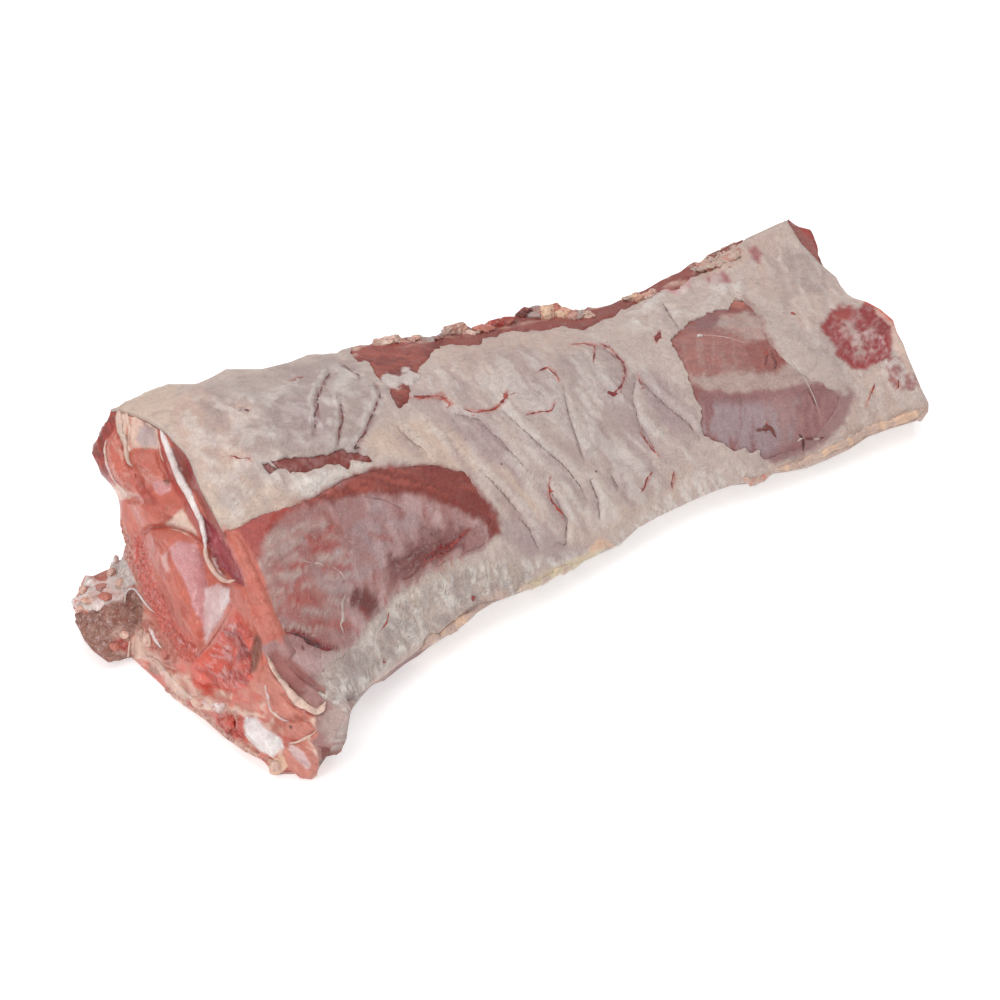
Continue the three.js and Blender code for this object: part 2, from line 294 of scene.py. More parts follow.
UPPER_RIM = dots(118,407, 136,393, 152,387, 168,384, 196,384, 212,377, 226,369, 262,369, 290,362, 312,353,
    340,350, 360,345, 371,345, 373,341, 380,337, 397,335, 399,338, 418,336, 440,338, 441,334, 443,328,
    452,326, 462,323, 465,325, 466,331, 480,326, 490,322, 505,318, 512,318, 520,312, 524,308, 535,307,
    550,306, 557,304, 560,308, 570,309, 580,312, 588,307, 595,308, 610,305, 622,299, 626,296, 628,300,
    632,295, 645,290, 660,281, 670,276, 680,272, 690,264, 693,262, 697,265, 702,263, 710,254, 725,247,
    740,240, 755,232, 770,226, 783,222, 788,219)
RIB_RIM = dots(792,226, 800,227, 812,230, 817,234, 822,241, 822,252, 827,259, 833,270, 840,285, 850,297,
    867,302, 880,309, 893,320, 897,333, 903,343, 908,357, 914,371, 921,388, 929,404, 928,412, 923,419)
HEM_RIM = dots(910,423, 890,429, 868,437, 850,449, 827,460, 807,468, 787,472, 771,474, 766,480, 756,485,
    742,482, 710,493, 690,502, 660,516, 638,528, 620,545, 600,554, 583,562, 575,569, 560,574, 545,584,
    525,591, 512,596, 495,602, 478,612, 470,620, 460,628, 445,637, 428,648, 418,656, 405,664, 395,672,
    385,680, 372,685, 362,696, 351,710, 348,728)
CHUMP_RIM = dots(345,749, 338,754, 325,757, 319,762, 317,775, 310,781, 300,778, 293,772, 288,768, 280,774,
    271,779, 268,766, 262,760, 245,752, 225,738, 205,720, 180,703, 165,695, 142,686, 128,673, 110,664,
    93,651, 84,640, 80,631, 75,622, 77,613, 73,608, 71,601, 79,597, 81,584, 85,575, 93,576, 98,581,
    107,580, 109,570, 112,560, 116,552, 113,540, 112,520, 109,505, 106,488, 98,466, 91,452, 92,440,
    97,424, 108,410)
SILHOUETTE = UPPER_RIM + RIB_RIM + HEM_RIM + CHUMP_RIM


FURTHEST_TRIM_PX = 45.0


def trim(points, within=0.0):
    """Moves points seen outside the silhouette back to it. Along the board's edge they slide over the board."""
    px = photo_px(points)
    gap = within - inside(px, SILHOUETTE)
    at = np.flatnonzero(gap > 0)
    px, gap = px[at], np.minimum(gap[at], FURTHEST_TRIM_PX)
    step = 0.5
    here = inside(px, SILHOUETTE)
    rightwards = inside(px + (step, 0), SILHOUETTE) - here
    downwards = inside(px + (0, step), SILHOUETTE) - here
    slope = np.stack([rightwards, downwards], -1) / step
    way = slope[:, :1] * RIGHT - slope[:, 1:] * UP
    level = way * (1, 1, 0)
    level /= np.maximum((level**2).sum(1, keepdims=True), 0.25)
    upwards = ease(-slope[:, 1:] * 4)
    mm_per_px = (-((points[at] - EYE_POINT) @ BACK) / CAMERA["focal_px"])[:, None]
    out = points.copy()
    out[at] += mm_per_px * gap[:, None] * (way + (level - way) * upwards)
    return out


# ---- Tones ----


def srgb(r, g, b):
    """A colour read off as 0 to 255, as the renderer's linear one."""
    c = np.array([r, g, b]) / 255
    return np.where(c <= 0.04045, c / 12.92, ((c + 0.055) / 1.055) ** 2.4)


SHEEN_LIGHT = 0.17  # the share of a red tone's light that its wet sheen adds again as grey


def under_sheen(colour):
    """A red tone as it is painted, so that it looks right under its sheen."""
    redness = ease((colour[0] / colour[1] - 2.1) / 0.4)
    return np.maximum(colour - SHEEN_LIGHT * colour.mean() * redness * np.array([0.4, 1.0, 1.0]), 0.006)


SEEN_TONES = {  # as they look under light, from 0 to 255
    "fat": (208, 190, 180),
    "fat pink": (214, 185, 169),
    "fat cream": (218, 195, 178),
    "fat grey": (180, 161, 156),
    "fat lilac": (181, 157, 157),
    "fat low": (200, 182, 168),
    "fat white": (236, 229, 222),
    "fat yellow": (228, 212, 180),
    "fat orange": (240, 202, 172),
    # crease and crack are painted shade: the grey of a crease's line and the dark of a crack's line
    "crease": (140, 112, 110),
    "crack": (92, 62, 62),
    "muscle": (211, 126, 110),
    "muscle pale": (216, 146, 130),
    "muscle deep": (179, 83, 74),
    "muscle bright": (226, 120, 106),
    "muscle band": (138, 66, 58),
    "muscle shade": (114, 54, 50),
    "muscle brown": (158, 94, 86),
    "muscle dry": (124, 64, 58),
    "muscle purple": (171, 88, 94),
    "muscle dusk": (153, 107, 108),
    "fascia": (178, 135, 132),
    "fascia pink": (174, 129, 124),
    "fascia cream": (202, 185, 175),
    "fascia blue": (180, 161, 164),
    "lilac": (219, 156, 158),
    "silver": (228, 198, 196),
    "white": (250, 240, 236),
    "cream": (238, 206, 188),
    "bone grey": (168, 120, 102),
    "bone pink": (200, 150, 138),
    "marrow": (226, 120, 108),
    "cartilage": (250, 245, 242),
    "blood": (132, 26, 26),
    "blood dark": (84, 18, 20),
    "rib red": (160, 66, 66),
    "vessel": (188, 86, 68),
    # gap: grey-brown painted shade in the cut's gap and pin hole, also used for the vertebra's dark joint line
    "gap": (146, 100, 86),
}
TONES = {name: under_sheen(srgb(*seen)) for name, seen in SEEN_TONES.items()}


# ---- Painting ----


class Patch(NamedTuple):
    """An area of one tone. Lengths are in the photograph's pixels, the rise in millimetres."""

    name: str
    tone: str
    outline: tuple
    soft: float = 3.0  # width of the blend at its edge
    strength: float = 1.0
    rise: float = 0.0  # how far it stands out, negative for a hollow
    shoulder: float = 7.0  # how far in from its edge it reaches that
    ragged: float = 1.2
    wet: float = None
    threads: float = None  # how much fibrous film shows

    def reach(self):
        return self.outline, self.soft + 5 * self.ragged + 2

    def cover(self, px, rough):
        d = inside(px + self.ragged * rough[:, 1:], self.outline) + self.ragged * rough[:, 0] * 0.5
        return ease(d / self.soft + 0.5) * self.strength, self.rise * np.sqrt(ease(d / self.shoulder))


class Streak(NamedTuple):
    """A line of one tone, with its half widths along the way."""

    name: str
    tone: str
    line: tuple
    wide: tuple = (1.5, 1.5)
    soft: float = 1.5
    strength: float = 1.0
    rise: float = 0.0
    ragged: float = 0.5
    wet: float = None
    threads: float = None

    def reach(self):
        return self.line, max(self.wide) + self.soft + 3 * self.ragged + 2

    def cover(self, px, rough):
        gap, where = line_distance(px, self.line)
        half = np.interp(where, np.linspace(0, 1, len(self.wide)), self.wide)
        d = half - gap + self.ragged * rough[:, 0]
        round_top = np.sqrt(np.clip(1 - (gap / (half + self.soft)) ** 2, 0, 1))
        return ease(d / self.soft + 0.5) * self.strength, self.rise * round_top


class Weave(NamedTuple):
    """A field of streaks that run one way, within an outline."""

    name: str
    tone: str
    outline: tuple
    turn: float  # degrees, clockwise from the photograph's rows
    size: tuple  # of one streak in pixels, along and across
    strength: float = 0.5
    much: float = 0.0  # above 0 for more of the streaks' tone, below for less
    rise: float = 0.0
    soft: float = 14.0
    wet: float = None
    threads: float = None

    def reach(self):
        return self.outline, self.soft + 8

    def cover(self, px, rough):
        a = np.radians(self.turn)
        bent = px + 3 * rough[:, 1:]
        along_it, across_it = bent @ (np.cos(a), np.sin(a)), bent @ (-np.sin(a), np.cos(a))
        spots = np.stack([along_it / self.size[0], across_it / self.size[1], 0 * px[:, 0]], -1)
        seed = sum(map(ord, self.name))
        field = ease(0.5 + 1.6 * (noise(spots, 1, seed, 2) + self.much))
        share = ease(inside(px, self.outline) / self.soft + 0.5) * field
        return share * self.strength, self.rise * share


class Coat:
    """Colour, relief and wetness laid over a set of points, one patch on the other."""

    def __init__(self, points, tone, wet):
        self.points, self.px = points, photo_px(points)
        self.colour = np.tile(TONES[tone], (len(points), 1))
        self.rise = np.zeros(len(points))
        self.wet = np.full(len(points), float(wet))
        self.threads = np.full(len(points), 0.35)
        self.grain = np.zeros(len(points))
        sizes = ((2.4, 11), (6.0, 13), (6.0, 15))
        self.rough = np.stack([noise(points, size, seed, 4) * 2.2 for size, seed in sizes], -1)

    def lay(self, layers):
        for layer in layers:
            line, reach = layer.reach()
            line = np.array(line, float)
            low, high = line.min(0) - reach, line.max(0) + reach
            at = np.flatnonzero(np.all((self.px > low) & (self.px < high), axis=1))
            if len(at):
                share, rise = layer.cover(self.px[at], self.rough[at])
                self.tint(at, layer.tone, share)
                self.rise[at] += rise
                for kept, value in ((self.wet, layer.wet), (self.threads, layer.threads)):
                    if value is not None:
                        kept[at] += (value - kept[at]) * np.clip(share, 0, 1)
        return self

    def tint(self, at, tone, share):
        self.colour[at] += (TONES[tone] - self.colour[at]) * np.clip(share, 0, 1)[:, None]

    def keep(self, piece):
        layer = piece.data.attributes.new("tint", "FLOAT_COLOR", "POINT")
        rgba = np.concatenate([np.clip(self.colour, 0, 1), np.ones((len(self.colour), 1))], axis=1)
        layer.data.foreach_set("color", rgba.astype(np.float32).ravel())
        mark(piece, "wet", self.wet)
        mark(piece, "threads", self.threads)
        mark(piece, "grain", self.grain)


# ---- Meshes ----


def grid_mesh(cells_a, cells_b):
    """A grid whose vertices keep their fractions a and b in two layers."""
    bm = bmesh.new()
    bmesh.ops.create_grid(bm, x_segments=cells_a, y_segments=cells_b, size=0.5)
    a, b = bm.verts.layers.float.new("a"), bm.verts.layers.float.new("b")
    for v in bm.verts:
        v[a], v[b] = v.co.x + 0.5, v.co.y + 0.5
    return bm, a, b


def skirt(bm, rings, layer, under=0):
    """Extrudes the open rim of a sheet ring by ring and caps it.

    The layer runs from 1 on the sheet to 0 at the last ring, and on to -1 where rings under the piece are asked for.
    """
    for v in bm.verts:
        v[layer] = 1.0
    rim = [e for e in bm.edges if e.is_boundary]
    steps = [1 - (ring + 1) / rings for ring in range(rings)] + [-(ring + 1) / under for ring in range(under)]
    for value in steps:
        made = bmesh.ops.extrude_edge_only(bm, edges=rim)["geom"]
        for item in made:
            if isinstance(item, bmesh.types.BMVert):
                item[layer] = value
        rim = [item for item in made if isinstance(item, bmesh.types.BMEdge) and item.is_boundary]
    bmesh.ops.contextual_create(bm, geom=rim)


def to_object(name, bm):
    """Makes the object of a bmesh, which is used up."""
    mesh = bpy.data.meshes.new(name)
    bm.to_mesh(mesh)
    bm.free()
    piece = bpy.data.objects.new(name, mesh)
    bpy.context.scene.collection.objects.link(piece)
    return piece


def read(piece, layer):
    """One number for each vertex."""
    out = np.zeros(len(piece.data.vertices))
    piece.data.attributes[layer].data.foreach_get("value", out)
    return out


def corners(piece):
    """A piece's vertices in the part's millimetres."""
    out = np.zeros(len(piece.data.vertices) * 3)
    piece.data.vertices.foreach_get("co", out)
    return out.reshape(-1, 3) / MM - SHIFT


def place(piece, points):
    """Moves a piece's vertices to points given in the part's millimetres."""
    piece.data.vertices.foreach_set("co", ((points + SHIFT) * MM).ravel())
    piece.data.update()


def mark(piece, name, values):
    """Keeps a number for each vertex, which the piece's material reads."""
    layer = piece.data.attributes.new(name, "FLOAT", "POINT")
    layer.data.foreach_set("value", np.asarray(values, np.float32))


def face_out(piece):
    """Turns all faces outwards and shades them smooth."""
    bm = bmesh.new()
    bm.from_mesh(piece.data)
    bmesh.ops.recalc_face_normals(bm, faces=bm.faces[:])
    if bm.calc_volume(signed=True) < 0:
        bmesh.ops.reverse_faces(bm, faces=bm.faces[:])
    bm.to_mesh(piece.data)
    bm.free()
    piece.data.polygons.foreach_set("use_smooth", np.ones(len(piece.data.polygons), bool))


def settle(piece, points, coat):
    """Moves a piece's vertices to their places and keeps its paint."""
    place(piece, points)
    coat.keep(piece)
    face_out(piece)
    return piece


def dress(piece, material, slot, *nodes):
    """Gives a piece its material and its place in the part, and hides the solids that it replaces."""
    piece.data.materials.append(material)
    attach(piece, "root")
    if nodes:
        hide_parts(*nodes)


# ---- Shader expressions ----


class Value:
    """A socket that takes part in sums: each operator adds one Math node."""

    def __init__(self, shader, socket):
        self.shader, self.socket = shader, socket

    def _math(self, operation, one, other):
        return self.shader.node("ShaderNodeMath", {"operation": operation}, [one, other])

    def __add__(self, other):
        return self._math("ADD", self, other)

    __radd__ = __add__

    def __mul__(self, other):
        return self._math("MULTIPLY", self, other)

    __rmul__ = __mul__

    def __sub__(self, other):
        return self._math("SUBTRACT", self, other)

    def __rsub__(self, other):
        return self._math("SUBTRACT", other, self)

    def between(self, low, high):
        """0 below low, 1 above high, eased between."""
        sockets = {"Value": self, "From Min": low, "From Max": high}
        return self.shader.node("ShaderNodeMapRange", {"interpolation_type": "SMOOTHSTEP"}, sockets)


class Shader:
    """One material. node() adds any node: its type, its settings, then its sockets' values or links."""

    def __init__(self, name):
        self.material = bpy.data.materials.new(name)
        self.material.use_nodes = True
        self.tree = self.material.node_tree
        self.tree.nodes.clear()
        self.output = self.tree.nodes.new("ShaderNodeOutputMaterial")

    def node(self, kind, settings, sockets, out=0):
        made = self.tree.nodes.new(kind)
        for name, value in settings.items():
            setattr(made, name, value)
        pairs = sockets.items() if isinstance(sockets, dict) else enumerate(sockets)
        for key, value in pairs:
            socket = made.inputs[key]
            if isinstance(value, Value):
                self.tree.links.new(value.socket, socket)
            elif hasattr(socket.default_value, "__len__") and len(socket.default_value) == 4:
                socket.default_value = (*value, 1.0)
            else:
                socket.default_value = value
        return Value(self, made.outputs[out])

    def mark(self, name, out="Fac"):
        """A number or colour that the mesh keeps for each vertex."""
        return self.node("ShaderNodeAttribute", {"attribute_name": name}, {}, out=out)

    def places(self, stretch=(1, 1, 1)):
        here = self.node("ShaderNodeTexCoord", {}, {}, out="Object")
        return self.node("ShaderNodeMapping", {}, {"Vector": here, "Scale": stretch})

    def noise(self, size_mm, detail=3.0, rough=0.55, stretch=(1, 1, 1), twist=0.0):
        """Noise from about 0.2 to 0.8, with bumps of size_mm."""
        sockets = {"Vector": self.places(stretch), "Scale": 1 / (size_mm * MM), "Detail": detail}
        sockets.update({"Roughness": rough, "Distortion": twist})
        return self.node("ShaderNodeTexNoise", {}, sockets, out="Fac")

    def cells(self, size_mm):
        """Round cells, 0 in their middle."""
        sockets = {"Vector": self.places(), "Scale": 1 / (size_mm * MM)}
        return self.node("ShaderNodeTexVoronoi", {"feature": "F1"}, sockets, out="Distance")

    def line(self, noise, width):
        """Crinkled lines where a noise crosses its middle."""
        gap = self.node("ShaderNodeMath", {"operation": "ABSOLUTE"}, [noise - 0.5])
        return gap.between(width, 0)

    def mix(self, share, one, other, blend="MIX"):
        sockets = {"Factor": share, 6: one, 7: other}
        return self.node("ShaderNodeMix", {"data_type": "RGBA", "blend_type": blend}, sockets, out=2)

    def bump(self, height, depth_mm, strength=1.0, under=None):
        sockets = {"Strength": strength, "Distance": depth_mm * MM, "Height": height}
        if under is not None:
            sockets["Normal"] = under
        return self.node("ShaderNodeBump", {}, sockets)

    def finish(self, colour, roughness, normal, **fixed):
        sockets = {"Base Color": colour, "Roughness": roughness, "Normal": normal}
        sockets.update({key.replace("_", " "): value for key, value in fixed.items()})
        made = self.node("ShaderNodeBsdfPrincipled", {}, sockets)
        self.tree.links.new(made.socket, self.output.inputs["Surface"])
        return self.material


# ---- Bare places in the fat cover ----

BARE = {
    "hip": dots(150,520, 233,528, 261,514, 310,499, 343,479, 384,467, 433,465, 465,471, 486,503, 494,520,
        485,545, 460,556, 430,570, 395,596, 370,622, 350,650, 322,672, 326,701, 300,712, 150,700),
    "rump": dots(349,352, 360,330, 440,320, 437,345, 425,362, 418,367, 422,378, 412,384, 408,400, 399,408,
        392,398, 388,385, 374,374, 370,362, 358,360),
    "slit": dots(260,463, 270,461, 276,459, 290,457, 303,456, 313,455, 323,452, 328,454, 333,452, 337,449,
        345,448, 348,451, 355,453, 359,451, 363,454, 376,455, 372,462, 362,460, 352,460, 353,465, 349,468,
        340,464, 333,463, 327,464, 321,467, 311,469, 305,472, 298,471, 293,470, 288,475, 289,481, 282,476,
        286,468, 277,468, 274,471, 276,477, 269,473, 265,468),
    "oval": dots(670,340, 691,321, 710,310, 728,308, 736,296, 750,303, 762,322, 770,342, 781,356, 808,376,
        832,388, 840,398, 834,414, 816,437, 797,449, 776,456, 764,461, 759,449, 752,456, 745,447, 736,452,
        726,443, 703,434, 701,409, 691,383, 681,359),
    "crown": dots(352,346, 390,346, 428,352, 440,345, 452,342, 456,344, 480,344, 483,338, 497,336, 501,333,
        520,330, 540,329, 555,327, 562,325, 572,327, 582,328, 592,325, 604,320, 615,316, 622,309, 632,305,
        641,302, 650,297, 664,288, 676,289, 684,282, 690,276, 701,275, 712,269, 720,262, 728,254, 736,246,
        744,238, 748,228, 740,170, 350,290),
    "shoulder": dots(786,214, 792,224, 799,235, 806,242, 815,249, 821,255, 828,264, 860,262, 840,210),
}
SOFT_EDGE_FROM = 530.0  # below this row of pixels the cover thins out slowly
SOFT_EDGE = dots(748,296, 772,306, 800,330, 852,372, 862,392, 850,425, 800,462, 770,470, 765,455, 815,432,
    838,395, 778,352)
FLANK_EDGE = dots(225,512, 310,484, 384,452, 440,450, 480,462, 508,505, 505,550, 240,560)
FAR_PX = 30.0


def bareness(px, points):
    """How far each place lies inside a bare patch, in pixels, with a torn edge."""
    best = np.full(len(px), -FAR_PX)
    for ring in BARE.values():
        line = np.array(ring, float)
        at = np.flatnonzero(np.all((px > line.min(0) - FAR_PX) & (px < line.max(0) + FAR_PX), axis=1))
        best[at] = np.maximum(best[at], inside(px[at], ring))
    at = np.flatnonzero(best > -FAR_PX)
    best[at] += 2.6 * noise(points[at], 7, 5, 3) + 1.6 * noise(points[at], 2.2, 9, 2)
    return best


def edge_softness(px):
    """From 0 where the cover ends in a torn edge to 1 where it thins out."""
    by_place = np.maximum(ease(inside(px, SOFT_EDGE) / 8 + 1), 0.5 * ease(inside(px, FLANK_EDGE) / 8 + 1))
    return np.maximum(ease((px[:, 1] - SOFT_EDGE_FROM) / 40), by_place)


# ---- What the skin side shows ----

LOIN = dots(380,390, 470,350, 600,345, 680,380, 700,470, 600,530, 520,540, 450,450)
SKIN = (  # on the fat, and on the meat's wall at the flank's hem
    Patch("pink rump", "fat pink", dots(167,398, 200,388, 235,395, 262,420, 265,445, 255,458, 240,470,
        215,465, 200,480, 190,455, 178,440, 168,420), 14, 0.9),
    Patch("cream below the slit", "fat cream", dots(200,480, 225,465, 262,470, 280,490, 300,503, 270,516,
        235,530, 222,525, 208,505), 12),
    Patch("grey rump", "fat grey", dots(205,386, 260,372, 330,355, 352,368, 300,388, 250,402), 14, 0.55),
    Patch("crown's grey", "fat grey", dots(232,428, 285,405, 302,430, 285,452, 248,456), 14, 0.6),
    Patch("fold at the corner", "fat cream", dots(110,412, 125,400, 150,386, 178,384, 174,410, 168,430,
        150,416), 5, 0.95, 0.5),
    Patch("mottled rump", "fat grey", dots(255,405, 300,378, 348,362, 378,390, 385,410, 375,430, 360,445,
        320,454, 280,447, 262,430), 16, 0.8, ragged=6),
    Patch("lilac rump", "fat lilac", dots(262,425, 300,400, 330,415, 335,445, 290,448), 12, 0.7, ragged=5),
    Patch("pale above the loin", "fat pink", dots(430,345, 480,338, 520,330, 560,330, 590,345, 540,365,
        480,380, 440,385), 18, 0.4),
    Patch("cream band", "fat cream", dots(362,440, 380,428, 420,418, 455,428, 490,455, 520,480, 545,510,
        548,535, 525,535, 500,508, 480,478, 440,462, 400,456, 375,455), 14, 0.95),
    Patch("lilac loin", "fat lilac", dots(450,412, 480,415, 515,450, 505,468, 470,445, 448,428), 12, 0.6),
    Patch("grey loin", "fat grey", dots(530,370, 600,345, 650,380, 670,420, 640,450, 590,460, 560,430), 30,
        0.45, ragged=6),
    Patch("lilac before the oval", "fat lilac", dots(640,375, 670,380, 695,410, 700,435, 670,430, 650,405), 14,
        0.7, ragged=4),
    # painted shade of the creases at the waist, in grey-lilac
    Patch("lilac painted shade at the waist", "fat lilac", dots(505,500, 530,520, 565,540, 590,545, 580,560, 530,560, 505,540), 14,
        0.7, ragged=4),
    Patch("pale waist", "fat cream", dots(560,520, 610,505, 660,480, 690,465, 700,485, 640,520, 590,545,
        560,545), 16, 0.5),
    Patch("fibrous flank", "fat low", dots(300,705, 350,650, 375,622, 400,592, 440,572, 500,560, 540,565,
        520,592, 470,625, 430,648, 400,660, 370,680, 352,710, 345,750, 325,745), 14, 0.9, threads=0.9),
    Patch("grey flank", "fat grey", dots(340,660, 360,650, 372,672, 352,700, 335,715, 325,700), 14, 0.6,
        ragged=5, threads=0.9),
    Patch("brown flank", "fascia pink", dots(316,712, 335,696, 356,706, 352,740, 328,746, 316,732), 7, 0.85,
        ragged=3, threads=0.6),
    Patch("dried tip", "muscle dry", dots(316,748, 330,746, 345,736, 349,752, 336,760, 318,762), 2.5, 0.9,
        ragged=2),
    Patch("far pink", "fat pink", dots(735,240, 790,225, 830,270, 860,300, 830,320, 800,330, 780,300, 750,290,
        740,262), 12, 0.4),
    Patch("far grey", "fat grey", dots(785,250, 805,248, 828,275, 825,292, 800,290, 787,270), 8, 0.6, ragged=4),
    Patch("purple fold", "muscle purple", dots(706,277, 714,271, 726,272, 730,280, 718,286, 708,284), 4, 0.8,
        -0.5, ragged=2),
    Patch("purple fold", "lilac", dots(662,288, 676,280, 690,278, 690,290, 672,294), 5, 0.8, ragged=2),
    Patch("purple nub", "muscle purple", dots(748,248, 756,246, 763,254, 760,263, 751,258), 4, 0.8, ragged=2),
    Patch("rosy shelf", "fat pink", dots(700,268, 724,258, 745,246, 752,258, 728,272, 704,280), 6, 0.8,
        ragged=3),
    Weave("shelf's lobes", "fat white", dots(610,320, 640,300, 680,285, 735,268, 745,290, 690,315, 640,330),
        150, (16, 10), 0.6, 0.05, 0.9),
    Patch("between the bare places", "fat grey", dots(775,325, 810,330, 840,360, 860,385, 850,400, 820,380,
        795,350), 12, 0.55, ragged=4),
    Patch("rib flank", "fat pink", dots(850,372, 880,368, 915,392, 925,410, 870,437, 845,440), 10, 0.5,
        ragged=5, threads=0.8),
    Weave("flank's curled fibres", "fat white", dots(300,705, 350,655, 400,596, 470,566, 600,550, 700,470,
        760,470, 600,560, 470,630, 352,712, 345,750, 325,745), 68, (13, 2.6), 0.75, 0.0, 0.25),
    Weave("flank's grey", "fat grey", dots(300,705, 350,655, 400,596, 470,566, 520,590, 430,650, 352,712,
        345,750, 325,745), 60, (14, 7), 0.7, -0.05),
    Weave("loin's film", "fat lilac", LOIN, 52, (46, 9), 0.55, -0.1, -0.3),
    Weave("loin's light", "fat white", LOIN, 50, (36, 6), 0.45, -0.15, 0.25),
    Weave("far fibres", "fat white", dots(740,260, 800,235, 860,310, 925,400, 860,440, 850,380, 780,310), 62,
        (26, 4), 0.32, -0.05, 0.25),
    Weave("far grey fibres", "fat grey", dots(740,260, 800,235, 860,310, 850,380, 780,310), 70, (30, 8), 0.4,
        -0.05, -0.2),
    Weave("rump's lumps", "fat white", dots(250,400, 300,375, 350,360, 385,400, 360,445, 280,450), 20, (13, 8),
        0.5, 0.0, 0.5),
    Weave("rump's shade", "fat grey", dots(190,390, 350,352, 385,400, 360,445, 240,450), 30, (18, 12), 0.55,
        -0.1, -0.3),
    Weave("rump's clouds", "fat grey", dots(190,400, 250,390, 300,440, 270,510, 225,520, 205,480), 50, (22, 14),
        0.6, -0.1, -0.2),
    Weave("rump's light", "fat white", dots(170,400, 250,390, 300,470, 290,505, 225,525, 205,480), 20, (16, 9),
        0.45, -0.1, 0.3),
    Streak("rosy hem", "fat pink", dots(372,690, 385,680, 420,652, 470,617, 500,598), (9, 9), 8, 0.8),
    Streak("purple hem", "muscle dusk", dots(362,700, 385,684, 405,665, 424,648), (2, 6, 5, 1), 4, 0.9),
    Streak("yellow hem", "fat yellow", dots(520,588, 545,574, 575,562, 601,546), (2, 4, 5, 1), 3, 0.9, 1.0),
    Streak("orange hem", "fat orange", dots(590,549, 601,542, 613,545), (2, 4, 1), 3, 0.8),
    Streak("rib hem", "fat pink", dots(770,470, 800,461, 830,452, 870,438, 900,429, 927,411), (2, 4, 4, 5, 6),
        5, 0.7, 0.8),
    # painted shade in the crease where a fold lies over the hem
    Streak("painted shade under the fold over the hem", "crease", dots(350,700, 400,664, 430,642, 455,620, 480,603, 500,600), (1, 1.2,
        1), 2, 0.6, -0.8),
    Patch("pearl fat", "fat white", dots(290,475, 300,478, 330,470, 345,467, 352,474, 335,480, 320,487,
        310,497, 302,493, 295,485), 3, 0.6, 0.6, wet=0.9),
    Weave("torn pearl", "fat white", dots(268,470, 290,478, 330,466, 370,460, 372,466, 340,478, 312,498,
        296,496, 280,482), 30, (9, 5), 0.5, 0.0, 0.9, 4),
)

RIB_WINDOW = (  # meat that shows through the thin cover at the rib end, and the film right of the oval
    Patch("rib muscle", "rib red", dots(820,328, 832,312, 838,306, 852,311, 866,302, 880,308, 893,322,
        894,345, 888,360, 872,366, 852,368, 838,354, 832,340), 5, 1, -0.5, ragged=2, wet=0.7, threads=0.1),
    Patch("rib muscle's dark", "rib red", dots(834,309, 868,304, 893,322, 890,334, 862,322, 840,322), 5, 0.6,
        ragged=3),
    Weave("veining", "fascia cream", dots(840,325, 862,314, 878,330, 880,356, 862,362, 844,350), 25, (9, 5),
        0.45, -0.2, 0.3, 8),
    Weave("fine veining", "silver", dots(826,318, 868,306, 896,326, 886,360, 850,366, 834,345), 120, (6, 3),
        0.35, -0.2, 0, 5),
    Streak("vein", "fascia cream", dots(836,316, 848,324, 858,336, 862,350, 856,360), (1, 3, 2, 3, 1), 3, 0.6,
        0.2, ragged=4),
    Streak("vein", "silver", dots(858,336, 870,333, 882,338, 886,350), (2, 3, 1), 3, 0.5, 0.2, ragged=4),
    Patch("window's red corner", "blood", dots(866,308, 882,312, 892,326, 886,340, 874,326), 8, 0.3, ragged=3),
    Patch("purple mottle", "rib red", dots(880,360, 898,356, 908,372, 918,388, 906,386, 892,380), 6, 0.7,
        ragged=5),
    Weave("mottle's fat", "fat white", dots(878,358, 900,354, 920,388, 900,386), 40, (6, 4), 0.7, 0, 0.3, 5),
    Patch("red mottle", "muscle deep", dots(836,310, 848,308, 850,316, 842,320, 834,318), 4, 0.7, ragged=3),
    Patch("pale edge", "cream", dots(868,302, 884,310, 895,320, 905,348, 914,372, 908,374, 898,350, 890,326,
        878,314), 4, 0.6, ragged=2),
    Streak("red lip", "muscle bright", dots(862,300, 878,307, 896,322, 900,336), (1, 3, 2.5), 2, 0.9, 0.4),
    Patch("upper muscle under the film", "fascia pink", dots(745,296, 756,304, 768,322, 776,345, 784,358,
        778,374, 762,372, 755,340, 742,310), 7, 0.8, ragged=2, threads=0.2),
    Patch("lower muscle under the film", "muscle dusk", dots(790,396, 812,386, 836,382, 852,388, 854,402,
        844,424, 822,446, 798,457, 775,466, 766,460, 790,440), 7, 0.85, ragged=2, wet=0.6, threads=0.2),
    Patch("film right of the oval", "fascia cream", dots(748,296, 768,308, 786,330, 812,352, 846,386, 842,392,
        812,378, 786,352, 768,330, 752,306), 9, 0.8, ragged=4, threads=0.3),
)

